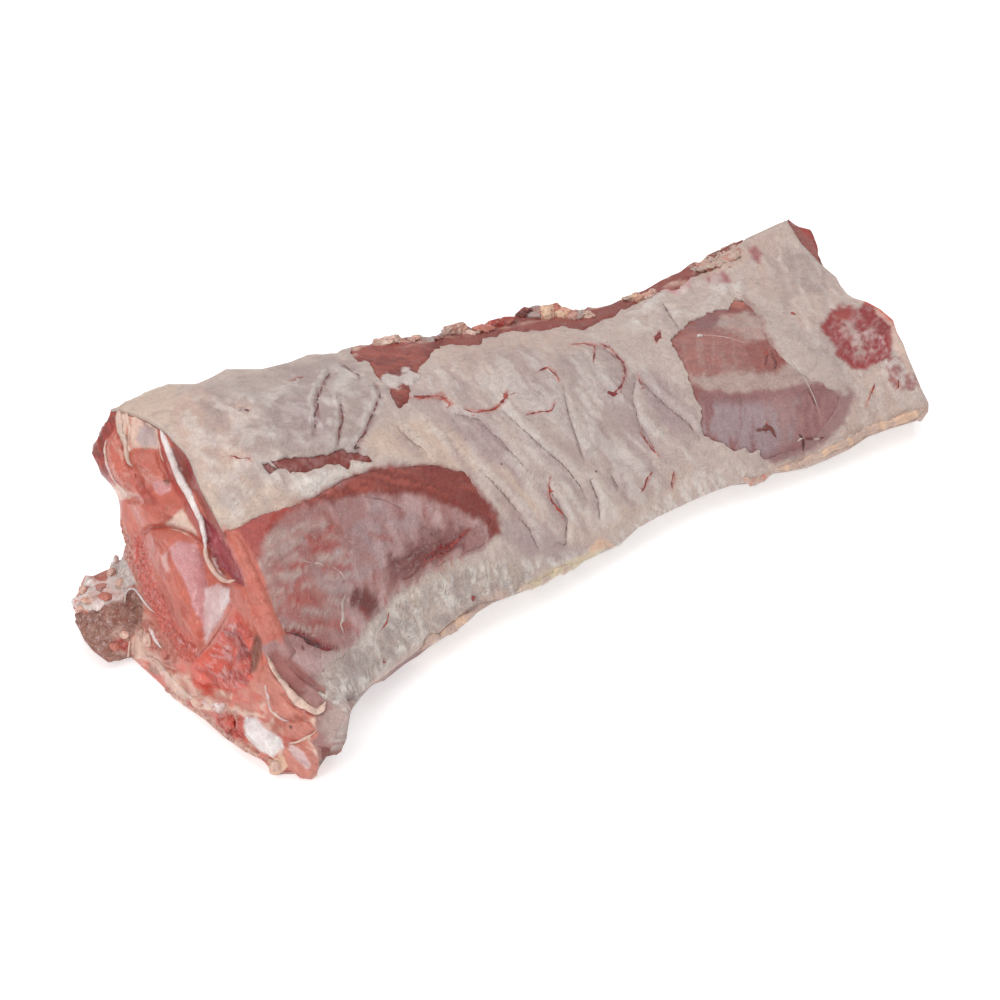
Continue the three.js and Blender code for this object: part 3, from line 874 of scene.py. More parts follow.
HIP = (  # the flank's muscle under its film, also where the cover thins out over it
    Patch("flank film", "fascia pink", dots(150,515, 233,524, 261,512, 310,496, 343,477, 384,464, 433,462,
        468,468, 492,503, 500,522, 488,548, 455,560, 430,575, 395,600, 372,625, 350,652, 322,672, 310,712,
        150,700), 5, 1, 0, wet=0.6, threads=0.5),
    Patch("lilac film", "fascia", dots(262,532, 300,515, 340,503, 378,500, 392,520, 376,545, 355,562, 345,585,
        322,605, 290,632, 275,622, 262,592, 248,565), 16, 0.5, ragged=4, threads=0.4),
    Patch("pale low film", "silver", dots(275,648, 300,652, 338,655, 352,650, 345,672, 320,676, 290,668), 12,
        0.5, ragged=3),
    Weave("fan, upper dark", "muscle deep", dots(236,545, 262,525, 335,518, 345,555, 300,572, 256,582), -27,
        (30, 4.5), 0.7, -0.05),
    Weave("fan, middle dark", "muscle deep", dots(252,580, 290,562, 350,545, 352,590, 300,600, 262,606), -12,
        (30, 4.5), 0.6, -0.1),
    Weave("fan, lower dark", "muscle deep", dots(258,606, 300,590, 345,590, 350,640, 300,652, 268,640), 2, (34,
        5), 0.55, -0.1),
    Weave("fan, upper light", "fascia cream", dots(240,548, 262,528, 330,520, 345,555, 300,572, 256,582), -27,
        (38, 4.5), 0.65, 0.0, 0.25),
    Weave("fan, middle light", "fascia cream", dots(252,582, 290,564, 350,550, 352,590, 300,600, 262,604), -12,
        (40, 4.5), 0.65, 0.0, 0.25),
    Weave("fan, lower light", "fascia cream", dots(258,604, 300,594, 345,592, 345,622, 300,640, 268,632), 2,
        (44, 5), 0.6, 0.05, 0.2),
    Patch("low dark blur", "muscle deep", dots(284,598, 292,592, 312,588, 322,600, 314,608, 294,609), 9, 0.6,
        ragged=3),
    Patch("dark blur", "muscle deep", dots(292,552, 312,542, 338,540, 344,546, 322,553, 300,558), 7, 0.65,
        ragged=3),
    Weave("pulled film", "silver", dots(330,505, 400,480, 480,500, 490,540, 440,570, 380,610, 350,650,
        330,640, 345,580), 75, (28, 6), 0.45, -0.05, 0.25),
    Weave("mottled film", "muscle brown", dots(250,530, 400,480, 490,500, 480,550, 400,590, 350,640, 290,640,
        250,600), 40, (14, 10), 0.5, -0.25),
    Weave("film's blue", "fascia blue", dots(300,520, 390,490, 430,510, 400,560, 330,600, 300,560), 60, (20,
        12), 0.5, -0.1),
    Patch("upper band", "muscle band", dots(231,527, 250,517, 275,509, 315,496, 350,476, 390,464, 433,463,
        467,471, 484,493, 497,514, 503,536, 492,540, 478,524, 458,510, 430,500, 402,494, 372,494, 345,500,
        320,505, 300,511, 275,522, 262,536, 250,556, 238,548), 8, 1, 0.4, ragged=4, threads=0.12),
    Weave("band's fibres", "muscle", dots(236,530, 300,500, 390,466, 470,475, 498,520, 470,510, 420,488,
        345,496, 260,530), 12, (26, 3.2), 0.4, -0.1, 0.2, 5),
    Patch("deep corner", "muscle band", dots(404,470, 440,472, 470,495, 490,520, 470,512, 440,492), 6, 0.7,
        ragged=2),
    Patch("round shadow", "muscle shade", dots(347,600, 352,592, 364,588, 376,596, 380,608, 372,618, 356,616),
        10, 0.95, ragged=5),
    Patch("long shadow", "muscle shade", dots(382,574, 392,558, 406,547, 420,545, 425,556, 418,570, 402,583,
        388,583), 12, 0.9, ragged=7),
    Patch("middle shadow", "muscle shade", dots(416,546, 424,532, 440,528, 456,532, 463,540, 456,553, 440,560,
        424,557), 11, 0.8, ragged=7),
    Weave("film across the shadows", "fascia pink", dots(375,590, 390,550, 425,522, 468,526, 465,560, 420,590),
        -30, (22, 4), 0.4, -0.05, 0.2, 8),
    Patch("red corner", "muscle deep", dots(231,527, 262,513, 285,507, 290,515, 268,526, 262,545, 262,565,
        250,560, 240,545), 8, 0.9, ragged=2),
    Weave("film thins out", "fascia cream", dots(300,712, 322,660, 352,640, 376,612, 398,588, 432,566, 460,556,
        470,570, 420,600, 390,640, 352,690, 330,720), 62, (34, 5), 0.85, 0.15, 0.3, 16),
    Weave("red between the film", "muscle deep", dots(340,620, 376,600, 430,560, 470,545, 460,565, 400,600,
        360,650, 330,680), 64, (22, 4), 0.5, -0.3, -0.2, 12),
    Patch("cut side's strip", "muscle brown", dots(268,652, 276,650, 290,660, 303,676, 322,692, 330,700,
        312,706, 296,694, 282,682, 270,668), 6, 0.8, ragged=2),
    Streak("slash", "blood", dots(284,633, 293,633, 302,637, 311,643, 320,647, 335,650), (1.5, 3.6, 3.2, 1.5),
        3, 1, wet=0.9),
    Streak("clot's blood", "blood", dots(426,560, 436,553, 447,548, 456,541, 468,530), (1.5, 4, 4, 2, 0.8), 3,
        0.95, wet=0.9),
    Patch("clot", "blood dark", dots(437,548, 443,545, 449,547, 449,553, 442,554), 2, 1, 0.6, wet=1.0),
    Streak("clot's stain", "muscle deep", dots(426,560, 436,553, 446,550), (3, 4, 3), 3, 0.7),
    Patch("wall's own colour", "muscle", dots(150,500, 231,527, 243,543, 254,560, 265,588, 272,616, 276,642,
        262,652, 150,660), 2.5, 1, wet=0.6, threads=0.1),
)

BARE_MEAT = (  # sharp-edged bare places: only the meat below shows these
    Patch("shoulder meat", "muscle deep", dots(784,214, 806,236, 824,262, 836,280, 860,262, 840,200), 4,
        wet=0.6),
    Weave("shoulder's dark", "muscle dry", dots(790,216, 812,232, 830,262, 846,250, 830,210), 50, (12, 4), 0.7,
        0, 0.3, 4),
    Patch("rump muscle", "muscle band", dots(343,356, 352,328, 445,316, 443,350, 425,368, 425,382, 412,408,
        398,414, 384,395, 366,378, 352,362), 3, 1, wet=0.5),
    Weave("rump's fibres", "muscle", dots(350,356, 352,330, 445,318, 440,350, 412,404, 384,395), 10, (24, 3),
        0.4, 0, 0.1),
    Patch("rump highlight", "muscle", dots(365,352, 400,343, 432,338, 424,352, 395,362, 372,360), 12, 0.25,
        ragged=4),
    Patch("slit muscle", "muscle band", dots(252,466, 281,451, 330,446, 355,445, 382,462, 350,474, 300,484,
        270,482), 2, 1, wet=0.4, threads=0.12),
    Weave("slit's pale fibres", "fascia pink", dots(258,464, 290,456, 340,448, 372,456, 352,468, 300,474,
        270,476), 28, (15, 1.8), 0.6, -0.1, 0.15, 3),
    Patch("rump's shreds", "fat white", dots(381,380, 388,374, 398,379, 408,372, 420,377, 424,388, 412,390,
        404,386, 396,392, 386,391), 2, 0.85, 1.0, ragged=3.5, wet=0.3),
    Patch("oval muscle", "muscle brown", dots(664,340, 691,315, 734,290, 758,298, 774,326, 770,340, 790,344,
        850,384, 852,396, 846,416, 820,446, 773,466, 736,456, 698,434, 695,409), 2, 1, wet=0.5),
    Patch("upper oval", "fascia pink", dots(672,340, 695,325, 760,330, 775,345, 775,368, 740,372, 690,374,
        680,355), 8, 0.55, ragged=3),
    Patch("oval's dark top", "muscle dusk", dots(690,322, 725,310, 730,325, 700,333), 6, 0.8),
    Patch("oval's nub", "muscle pale", dots(728,308, 736,297, 748,303, 742,310), 4, 0.6),
    Patch("oval's grey", "fascia cream", dots(722,318, 745,312, 768,326, 768,340, 740,336, 715,330), 8, 0.75,
        ragged=3),
    Weave("oval's upright film", "fascia cream", dots(680,345, 745,330, 775,345, 775,368, 690,376), 84, (30, 4),
        0.3, -0.1),
    Weave("oval's fibres", "muscle pale", dots(675,340, 720,312, 770,330, 775,372, 690,376), 4, (40, 3), 0.25,
        -0.1),
    Patch("oval's dark side", "muscle brown", dots(745,345, 768,340, 780,356, 776,372, 750,374), 7, 0.7,
        ragged=3),
    Patch("oval's middle band", "fascia cream", dots(688,376, 730,373, 775,374, 790,360, 812,372, 828,384,
        800,388, 775,393, 730,397, 697,390), 9, 0.75, ragged=3),
    Patch("lower oval", "muscle dusk", dots(697,392, 730,396, 775,392, 805,385, 848,386, 850,398, 840,416,
        818,440, 795,453, 772,463, 735,452, 700,432, 700,408), 4, 0.9, ragged=2),
    Weave("oval's sheen", "fascia blue", dots(698,404, 760,404, 800,400, 792,440, 766,456, 735,456, 700,434),
        88, (34, 5), 0.75, 0.25, wet=0.9),
    Weave("oval's dusk", "fascia pink", dots(760,396, 840,392, 838,418, 810,442, 780,452), 86, (30, 5), 0.7,
        0.05),
)

# ---- Blood in and on the cover: places of fine vessels ----

VESSELS = (
    dots(410,397, 425,397, 441,395, 447,401, 453,405),
    dots(465,409, 476,411, 486,411, 496,408, 502,403, 506,397, 507,391),
    dots(536,372, 550,367, 555,373, 559,382),
    dots(526,414, 540,412, 550,411, 555,402),
    dots(572,345, 585,343, 596,345, 593,364),
    dots(612,395, 621,388, 626,373, 624,363, 612,350, 600,343),
    dots(659,332, 657,337, 656,343),
    dots(550,476, 549,487, 550,497, 557,508, 565,519),
    dots(640,430, 648,443, 659,456),
    dots(637,373, 640,381, 645,389),
    dots(652,471, 647,482, 641,493),
    dots(674,471, 674,480, 672,489),
    dots(231,457, 242,458, 253,457),
    dots(290,381, 296,379, 303,376),
    dots(874,384, 870,395, 867,405),
    dots(900,378, 897,388),
)
STRONG_VESSELS = {0: 2.6, 1: 1.8, 2: 1.5, 5: 2.0, 6: 2.2, 7: 1.4, 8: 1.4}
CREASES = (
    dots(455,415, 478,419, 497,437, 530,473),
    dots(502,410, 530,436, 565,467, 580,485, 588,505),
    dots(520,519, 530,530, 539,551),
    dots(562,385, 570,420, 580,450, 585,462),
    dots(600,345, 620,360, 628,375),
    dots(640,380, 660,400, 690,425, 700,440),
    dots(545,480, 556,500, 567,520, 566,545, 556,543),
    dots(590,480, 598,500, 600,520),
    dots(610,470, 618,490),
    dots(480,470, 505,495, 520,515),
    dots(700,225, 720,262),
    dots(660,300, 680,330),
    dots(635,375, 632,400, 640,425, 655,450),
    dots(395,425, 410,440, 428,455),
)
CRACKS = (
    dots(318,387, 316,400, 317,415, 315,432),
    dots(330,372, 322,385, 318,395),
    dots(340,395, 342,420, 338,445),
    dots(376,385, 380,397, 374,410, 368,425, 360,440, 352,450),
    dots(343,365, 352,372, 360,378),
    dots(348,450, 360,448),
    dots(236,410, 248,411),
)


def stains():
    """The soft colour round the vessels, and the creases' relief with painted shade in and below them and a painted
    highlight beside them, as layers of paint.
    """
    for i, line in enumerate(VESSELS):
        half = STRONG_VESSELS.get(i, 1.0)
        yield Streak("stain", "vessel", line, (half * 0.3, half * 1.2, half * 0.5), 3.5, 0.6, ragged=1.2)
    # each crease: a painted highlight on one side, painted shade below it and a grey line of painted shade in it
    for line in CREASES:
        yield Streak("painted highlight beside a crease", "fat white", [(x + 4, y - 4) for x, y in line], (1, 2.5, 1), 6, 0.35, 0.35)
        yield Streak("painted shade below a crease", "fat lilac", [(x - 5, y + 3) for x, y in line], (1, 4, 1), 8, 0.5, -0.1)
        yield Streak("crease", "crease", line, (0.2, 1.0, 0.2), 1.8, 0.7, -0.7)
    for line in CRACKS:
        yield Streak("crack's shade", "muscle dusk", line, (1, 2.6, 1), 3.5, 0.7, -0.8, 2.2)
        yield Streak("crack's lip", "fat white", [(x - 5, y) for x, y in line], (1, 2.2, 1), 3, 0.5, 0.6, 2)


# ---- Fat cover ----

FAT_CELLS = (380, 165)
FAT_TOP_EDGE = 0.98  # share of the way up to the chine where the cover ends
FAT_TOP_LIMIT = 0.996
FAR_EDGE_RISE, FAR_EDGE_FROM = 0.03, 0.86  # it reaches higher at the rib end
COVER_LONG = 360  # about its length in millimetres
FAT_WRAP = 0.13  # share of the cover's cells that hang down from the flank's fold
SEAT = 0.1  # the cover's underside dips this far into the meat's skin


def fat_point(a, b, depth):
    """A point of the cover: b runs from its lower edge round the flank's fold to the torn edge at the chine."""
    run = np.stack([a * COVER_LONG, 0 * a, 0 * a], -1)
    torn = 0.010 * (np.sin(41 * a) + np.sin(97 * a + 2)) + 0.018 * noise(run, 6, 3, 3)
    far_rise = FAR_EDGE_RISE * ease((a - FAR_EDGE_FROM) * 14)
    top_edge = np.minimum(FAT_TOP_EDGE + torn + far_rise, FAT_TOP_LIMIT)
    u = np.clip((b - FAT_WRAP) / (1 - FAT_WRAP), 0, None) * top_edge
    over = skin_point(a, u, depth)
    lowest = 0.05 + 0.08 * noise(run, 17, 8, 3)
    w = lowest + (1 - lowest) * np.clip(b / FAT_WRAP, 0, 1)
    x = NEAR_X + (FAR_X - NEAR_X) * a
    hem_y, hem_z = skin(x, 0 * a, depth)
    foot = along("foot", x) - (FAT - depth)
    y = foot + (hem_y - foot) * np.sin(w * np.pi / 2)
    z = hem_z * w
    down = np.stack([lengthwise(a, y, z), y, z], -1)
    return np.where((b > FAT_WRAP)[:, None], over, down)


def make_fat_cover():
    """A closed shell with its bare places cut through, painted and creased."""
    bm, layer_a, layer_b = grid_mesh(*FAT_CELLS)
    cell = 1 / np.array(FAT_CELLS)

    def bare_at(a, b):
        points = fat_point(a, b, 0)
        return bareness(photo_px(points), points)

    a, b = np.array([(v[layer_a], v[layer_b]) for v in bm.verts]).T
    bare = bare_at(a, b)
    gone = [f for f in bm.faces if all(bare[v.index] > 0 for v in f.verts)]
    bmesh.ops.delete(bm, geom=gone, context="FACES")
    a, b = np.array([(v[layer_a], v[layer_b]) for v in bm.verts]).T
    at = np.flatnonzero(bare_at(a, b) > 0)
    for _ in range(3):  # the last vertices inside a bare place move back to its edge
        ea, eb = a[at], b[at]
        bare = bare_at(ea, eb)
        slope_a = bare_at(ea + cell[0] / 2, eb) - bare_at(ea - cell[0] / 2, eb)
        slope_b = bare_at(ea, eb + cell[1] / 2) - bare_at(ea, eb - cell[1] / 2)
        back = np.clip(bare, 0, None) / (slope_a**2 + slope_b**2 + 1e-6)
        a[at] -= np.clip(back * slope_a, -0.7, 0.7) * cell[0]
        b[at] -= np.clip(back * slope_b, -0.7, 0.7) * cell[1]
    for v, va, vb in zip(bm.verts, a, b):
        v[layer_a], v[layer_b] = va, vb
    top = bm.verts.layers.float.new("top")
    made = bmesh.ops.extrude_face_region(bm, geom=bm.faces[:], use_keep_orig=True)
    for item in made["geom"]:
        if isinstance(item, bmesh.types.BMVert):
            item[top] = 1.0
    piece = to_object("fat_cover_dressed", bm)
    a, b, top = read(piece, "a"), read(piece, "b"), read(piece, "top")
    flat = fat_point(a, b, 0)
    coat = Coat(flat, "fat", 0.25).lay(HIP).lay(SKIN).lay(RIB_WINDOW).lay(stains())
    bare = bareness(coat.px, flat)
    soft = edge_softness(coat.px)
    edge = ease(-bare / (5 + 18 * soft))
    torn_edge = ease((1 - b) * FAT_CELLS[1] / 5) * ease(b * FAT_CELLS[1] / 4)
    thin = edge * torn_edge
    lump = 0.45 * noise(flat, 15, 21, 3) + 0.16 * noise(flat, 4, 22, 3)
    roll = 1.3 * np.exp(-(((b / FAT_WRAP - 0.7) / 0.5) ** 2))
    sunk = (0.5 + 0.6 * soft) * (1 - thin)
    height = -sunk + (lump + coat.rise + roll) * thin
    depth = np.where(top > 0.5, -height, FAT)
    points = trim(fat_point(a, b, depth), np.where(top > 0.5, 0.0, 3.0))
    points[:, 2] = np.maximum(points[:, 2], 0.1)
    return settle(piece, points, coat)


# ---- Meat ----

LEAN_CELLS = (330, 150)
LEAN_RINGS = 26
UNDER_RINGS = 8
UNDER_MIDDLE = (50.0, 32.0, 0.4)  # where the underside's rings draw together
UNDER_PULL = 0.94
END_SET_BACK = 5.0  # how far the meat's own ends stand back behind the detailed cut


def make_lean():
    """The meat under the cover, with what its bare places show."""
    bm, _, _ = grid_mesh(*LEAN_CELLS)
    skirt(bm, LEAN_RINGS, bm.verts.layers.float.new("w"), UNDER_RINGS)
    piece = to_object("lean_dressed", bm)
    a, b, level = read(piece, "a"), read(piece, "b"), read(piece, "w")
    w, under = np.clip(level, 0, 1), np.clip(-level, 0, 1)
    on_skin = w > 0.99
    flat = meat_point(a, b, w, FAT)
    coat = Coat(flat, "muscle", 0.5)
    skin_coat = Coat(flat[on_skin], "muscle brown", 0.5)
    skin_coat.lay(HIP).lay(BARE_MEAT)
    streaky = noise(skin_coat.points * (0.35, 1, 1), 3.2, 61, 3)
    beyond = ease((b[on_skin] - 0.90) * 20) * ease((0.9 - a[on_skin]) * 20)
    skin_coat.tint(slice(None), "cream", beyond * ease(streaky * 2.2 + 0.1) * 0.8)
    for kept in ("colour", "wet", "rise", "threads"):
        getattr(coat, kept)[on_skin] = getattr(skin_coat, kept)
    paint_walls(coat, b, w)
    flank = np.flatnonzero((w < 0.99) & (b < 0.02) & (level >= 0))
    flank_coat = Coat(flat[flank], "fat low", 0.3).lay(HIP).lay(SKIN)
    for kept in ("colour", "wet", "threads"):
        getattr(coat, kept)[flank] = getattr(flank_coat, kept)
    bare = bareness(coat.px, flat)
    lifted = ease(bare / 6 + 0.8)
    lump = 0.3 * noise(flat, 8, 41, 3)
    depth = FAT + SEAT - 1.3 * lifted - (lump + coat.rise) * on_skin
    points = meat_point(a, b, w, depth)
    near_end = (a < 1e-6) & ~on_skin
    points[near_end, 0] += END_SET_BACK * ease((1 - w[near_end]) * 12)
    points = trim(points, np.where(on_skin & (bare > 0), 0.0, 5.0))
    points[:, 2] = np.maximum(points[:, 2], 0)
    points += (np.array(UNDER_MIDDLE) - points) * (UNDER_PULL * under)[:, None]
    points[under > 0] = trim(points[under > 0], 5.0)
    return settle(piece, points, coat)


def paint_walls(coat, b, w):
    """The sawn chine, the rib end and the underside's rim: meat with a rim of fat and pale seams."""
    p = coat.points
    wall = w < 0.99
    seams = noise(p, 11, 71, 2)
    pale = np.exp(-((seams / 0.10) ** 2))
    coat.tint(wall, "cream", pale[wall] * 0.75)
    coat.tint(wall, "muscle deep", ease(noise(p, 17, 73, 3)[wall] * 3) * 0.6)
    rim = ease((w - 0.90) * 18) * ease(3 - 6 * np.abs(b - 0.5))
    coat.tint(wall, "fat", (rim * ease(noise(p, 9, 75, 2) + 0.8))[wall] * 0.9)
    chine = wall & (b > 0.999)
    coat.tint(chine, "bone pink", ease(noise(p, 5, 77, 3)[chine] * 2.5) * 0.6)


# ---- The chump's cut ----

CUT = (
    Patch("foot", "muscle pale", dots(90,560, 160,560, 260,640, 330,700, 345,760, 300,790, 60,680), 6),
    Weave("foot's blotches", "cream", dots(100,640, 135,600, 180,660, 240,690, 330,700, 320,780, 200,740), 40,
        (16, 8), 0.85, -0.1, 0.8),
    Weave("foot's red", "muscle bright", dots(100,640, 135,600, 180,660, 240,690, 300,700, 300,780, 200,740),
        45, (12, 7), 0.65, -0.15, -0.5),
    Patch("grainy left rim", "muscle pale", dots(100,490, 112,500, 128,530, 137,555, 142,580, 150,600, 140,600,
        118,590, 108,540), 5, 0.9, 0.6, wet=0.8),
    Patch("dried edge", "muscle deep", dots(118,410, 108,412, 98,424, 90,440, 88,452, 94,462, 100,476,
        106,494, 113,498, 114,488, 110,475, 107,462, 104,450, 107,438, 115,430), 3, ragged=1.5),
    Patch("outer muscle", "muscle", dots(106,440, 114,432, 118,433, 124,448, 127,455, 130,465, 135,470,
        138,480, 145,490, 152,500, 162,505, 172,502, 179,510, 175,516, 168,517, 160,515, 155,510, 142,505,
        135,497, 125,497, 117,490, 111,480, 107,465, 104,452), 2.5, 1, 2.0, 6, wet=0.9),
    Weave("outer muscle's grain", "cream", dots(104,450, 118,433, 150,495, 178,512, 120,497), 62, (14, 3), 0.35,
        -0.25, 0.2, 4),
    Weave("edge's depth", "muscle dry", dots(118,410, 97,424, 90,452, 100,480, 112,500, 110,478, 104,450,
        112,430), 70, (12, 4), 0.7, 0, -0.3, 3),
    Patch("upper muscle", "muscle", dots(130,449, 145,447, 157,449, 160,462, 167,475, 166,481, 155,480,
        142,471, 132,465, 129,457), 2.5, 1, 2.2, 6, wet=0.9),
    Patch("rolled muscle", "muscle pale", dots(135,465, 150,472, 167,480, 171,486, 166,489, 150,485, 139,477),
        2.5, 1, 1.6, 5, wet=1.0),
    Patch("lilac tissue", "lilac", dots(152,482, 160,481, 170,485, 171,491, 160,496, 154,491), 3, 0.8, 0.6,
        wet=1.0),
    # painted shade in the pin hole
    Patch("painted shade in the pin hole", "gap", dots(164,480, 169,480, 170,484, 166,486), 2, 0.9, -1.2, 3),
    Patch("cream corner", "cream", dots(111,484, 125,490, 136,495, 124,500, 116,499, 112,492), 3, 0.8, 0.4),
    Patch("lower muscle", "muscle", dots(127,503, 142,500, 155,507, 165,515, 167,520, 162,527, 152,529,
        142,531, 135,522, 129,511), 2.5, 1, 2.0, 7, wet=0.9),
    Patch("white corner", "cream", dots(163,523, 172,517, 182,509, 188,517, 196,532, 197,536, 185,531,
        172,526), 3, 1, 0.8, 5, wet=0.7),
    Patch("band's bed", "muscle deep", dots(157,430, 160,455, 166,472, 171,485, 180,497, 185,510, 192,522,
        200,537, 205,548, 207,530, 200,515, 190,500, 180,486, 173,473, 167,458, 163,438), 3, 0.9, 0.6),
    Patch("bed beyond the band", "muscle band", dots(166,429, 175,437, 187,450, 197,465, 206,482, 208,500,
        217,520, 229,531, 224,541, 212,531, 205,515, 197,500, 188,485, 180,470, 172,450), 3, 0.75, -0.8, 5,
        wet=0.9),
    Patch("purple bed", "muscle purple", dots(183,452, 196,462, 206,477, 207,492, 202,496, 192,478), 4, 0.8,
        wet=1.0),
    Patch("groove's muscle", "muscle purple", dots(202,513, 212,521, 222,535, 232,550, 240,565, 245,577,
        245,586, 237,584, 230,577, 222,567, 214,557, 208,545, 205,530), 3, 1, -2.2, 6, wet=1.0),
    Streak("groove's depth", "blood", dots(207,540, 211,553, 217,565, 224,574), (1.2, 2.2, 1.2), 2.5, 0.75, -1.0,
        wet=1.0),
    Patch("main muscle", "muscle", dots(141,533, 147,527, 157,526, 167,527, 182,530, 195,537, 203,546,
        206,565, 208,587, 206,605, 205,625, 205,642, 200,652, 187,641, 177,629, 167,615, 158,591, 150,566,
        144,550), 2.5, 1, 3.2, 13, wet=0.8),
    Patch("main muscle's crown", "muscle", dots(147,534, 157,530, 170,531, 185,535, 197,544, 199,550, 185,549,
        165,545, 151,546), 6, 0.7),
    Weave("main muscle's grain", "muscle pale", dots(145,540, 170,530, 200,548, 208,600, 200,650, 170,615), 64,
        (24, 3), 0.25, -0.1, 0.25, 5),
    Weave("main muscle's shade", "muscle deep", dots(141,533, 160,530, 185,570, 195,620, 200,652, 167,615,
        150,566), 60, (22, 6), 0.35, -0.2, -0.2, 6),
    Patch("main muscle's sheen", "lilac", dots(168,549, 180,540, 197,545, 204,565, 208,587, 206,605, 205,632,
        200,617, 192,603, 185,583, 176,565), 4, 0.9, 0.4, 6, wet=1.0),
    Patch("white tissue", "silver", dots(206,588, 218,584, 230,589, 232,600, 223,615, 215,628, 208,639,
        205,642, 205,622, 205,605), 3.5, 1, 1.2, 6, wet=0.9),
    Patch("white tissue's top", "white", dots(220,588, 230,590, 230,601, 222,612, 218,600), 4, 0.7),
    Patch("wet strip", "muscle bright", dots(134,530, 142,535, 146,552, 152,570, 160,592, 170,616, 182,632,
        196,645, 201,655, 192,664, 178,656, 163,634, 153,614, 143,598, 138,575, 133,553), 3.5, 0.9, 0.5,
        wet=1.0),
    Patch("bright muscle", "muscle bright", dots(194,661, 210,646, 225,626, 235,606, 246,622, 256,636, 258,645,
        253,657, 252,669, 253,678, 245,688, 235,692, 220,691, 207,688, 195,681, 191,668), 2.5, 1, 2.8, 12,
        wet=1.0),
    Weave("bright muscle's gleams", "silver", dots(200,680, 215,640, 236,610, 252,650, 250,685, 220,690), 30,
        (10, 3), 0.55, -0.3, 0.6, 5),
    Weave("bright muscle's depth", "blood", dots(194,668, 215,640, 236,610, 256,640, 250,685, 220,690), 58, (18,
        5), 0.4, -0.3, -0.6, 5),
    Patch("bleed", "blood", dots(232,636, 238,627, 246,640, 251,655, 244,664, 237,660, 240,648), 7, 0.75,
        ragged=3),
    Patch("lower bleed", "blood", dots(226,664, 240,660, 249,670, 240,684, 228,682), 7, 0.35, ragged=4),
    # painted shade in the fold between the muscles
    Patch("painted shade between the muscles", "muscle deep", dots(130,470, 142,478, 152,492, 161,506, 148,506, 138,494), 6,
        0.6, -0.5),
    Streak("wall's shade", "muscle deep", dots(228,536, 240,556, 248,580, 256,606, 262,628), (1, 2, 1), 3, 0.5),
    Patch("wet gleam", "white", dots(160,556, 166,552, 170,570, 166,572), 3, 0.35, wet=1.0),
    Streak("gleams", "white", dots(213,560, 219,572, 226,578), (0.4, 0.9, 0.4), 1.5, 0.6, 0.3, 1.5, wet=1.0),
    Streak("gleams", "white", dots(204,655, 212,648, 220,650), (0.4, 0.9, 0.4), 1.5, 0.5, 0.3, 1.5, wet=1.0),
    Patch("side muscle", "muscle", dots(230,580, 245,586, 251,602, 258,620, 252,634, 240,616, 232,606,
        229,596), 3, 1, 1.6, 7, wet=0.9),
    Patch("flank's wall", "muscle", dots(225,528, 236,545, 244,562, 253,585, 263,607, 273,628, 276,645,
        270,662, 262,670, 258,652, 256,636, 251,620, 246,605, 246,590, 247,583, 243,570, 235,555, 227,542),
        3, 1, 1.4, 6, wet=0.6),
    Weave("wall's grain", "muscle pale", dots(225,528, 250,570, 274,630, 270,660, 256,640, 246,590), 66, (16,
        3), 0.4, -0.1, 0.2, 4),
    Streak("flank's pale rim", "muscle pale", dots(230,532, 243,556, 256,584, 268,612, 274,632), (1, 2, 1.5), 3,
        0.6),
    # painted shade in the gap beside the flank's wall
    Patch("painted shade in the gap", "gap", dots(256,634, 262,640, 261,656, 256,670, 250,674, 251,655, 253,645), 4, 0.9, -0.9,
        4, 0.8),
    Streak("arc's shadow", "muscle deep", dots(143,533, 150,528, 160,526, 172,526, 190,532, 202,543), (0.5, 0.8,
        0.8), 1.6, 0.8, -0.8, 0.3),
    Patch("flap's muscle", "muscle pale", dots(258,672, 267,664, 278,678, 292,691, 306,705, 316,716, 308,719,
        300,717, 285,723, 275,721, 267,709, 259,691, 254,683), 3, 1, 2.0, 7, wet=0.8),
    Patch("film beside the flap", "fascia pink", dots(260,646, 276,640, 292,660, 312,684, 334,698, 326,706,
        316,710, 302,702, 290,693, 280,680, 270,664), 3, 1, ragged=1, wet=0.5),
    Patch("flap's brown edge", "muscle brown", dots(268,652, 276,650, 290,663, 303,680, 310,694, 300,698,
        288,688, 276,672), 5, 0.7, ragged=2),
    Patch("lowest muscle", "muscle pale", dots(286,721, 300,718, 312,721, 316,728, 310,735, 300,740, 289,739,
        284,731), 3, 1, 1.8, 6, wet=0.8),
    Patch("flank's outer skin", "fascia pink", dots(300,690, 326,701, 318,712, 316,722, 319,733, 312,742,
        316,752, 320,764, 345,775, 380,740, 380,660, 330,650, 318,680), 3, 1, wet=0.2),
    Patch("flank skin's grey", "fascia cream", dots(325,712, 340,700, 350,715, 342,738, 328,742, 322,728), 8,
        0.7, ragged=3),
    Patch("dried scrap", "muscle dry", dots(318,746, 330,747, 344,738, 346,750, 336,757, 322,759), 3, 0.8, 0.8,
        ragged=2.5),
    Streak("flap's shade", "muscle deep", dots(284,694, 296,706, 310,714, 322,712), (0.6, 1.4, 0.8), 2, 0.7, -0.8,
        0.3),
    Patch("muscle finger", "muscle pale", dots(281,744, 290,742, 300,744, 311,750, 319,765, 318,772, 311,782,
        300,779, 289,768, 281,757), 2.5, 0.95, 1.8, 6, wet=0.7),
    Streak("finger's film", "silver", dots(292,748, 300,755, 308,766), (3, 5, 3), 3, 0.9),
    Patch("dark dot", "blood dark", dots(288.5,726, 291,725, 292,728, 290,729), 1.5, 0.9, -0.6, 2, 0.3),
    Patch("joint's flesh", "muscle pale", dots(134,624, 142,619, 152,622, 160,632, 168,643, 178,658, 175,666,
        167,664, 155,653, 143,644), 4, 0.9, 1.0, wet=0.8),
    Patch("joint's white", "cream", dots(134,633, 140,630, 143,642, 146,656, 136,660, 131,650), 3, 0.95, 0.8),
    Patch("grey patch", "bone grey", dots(147,662, 160,662, 164,672, 155,679, 147,672), 4, 0.8),
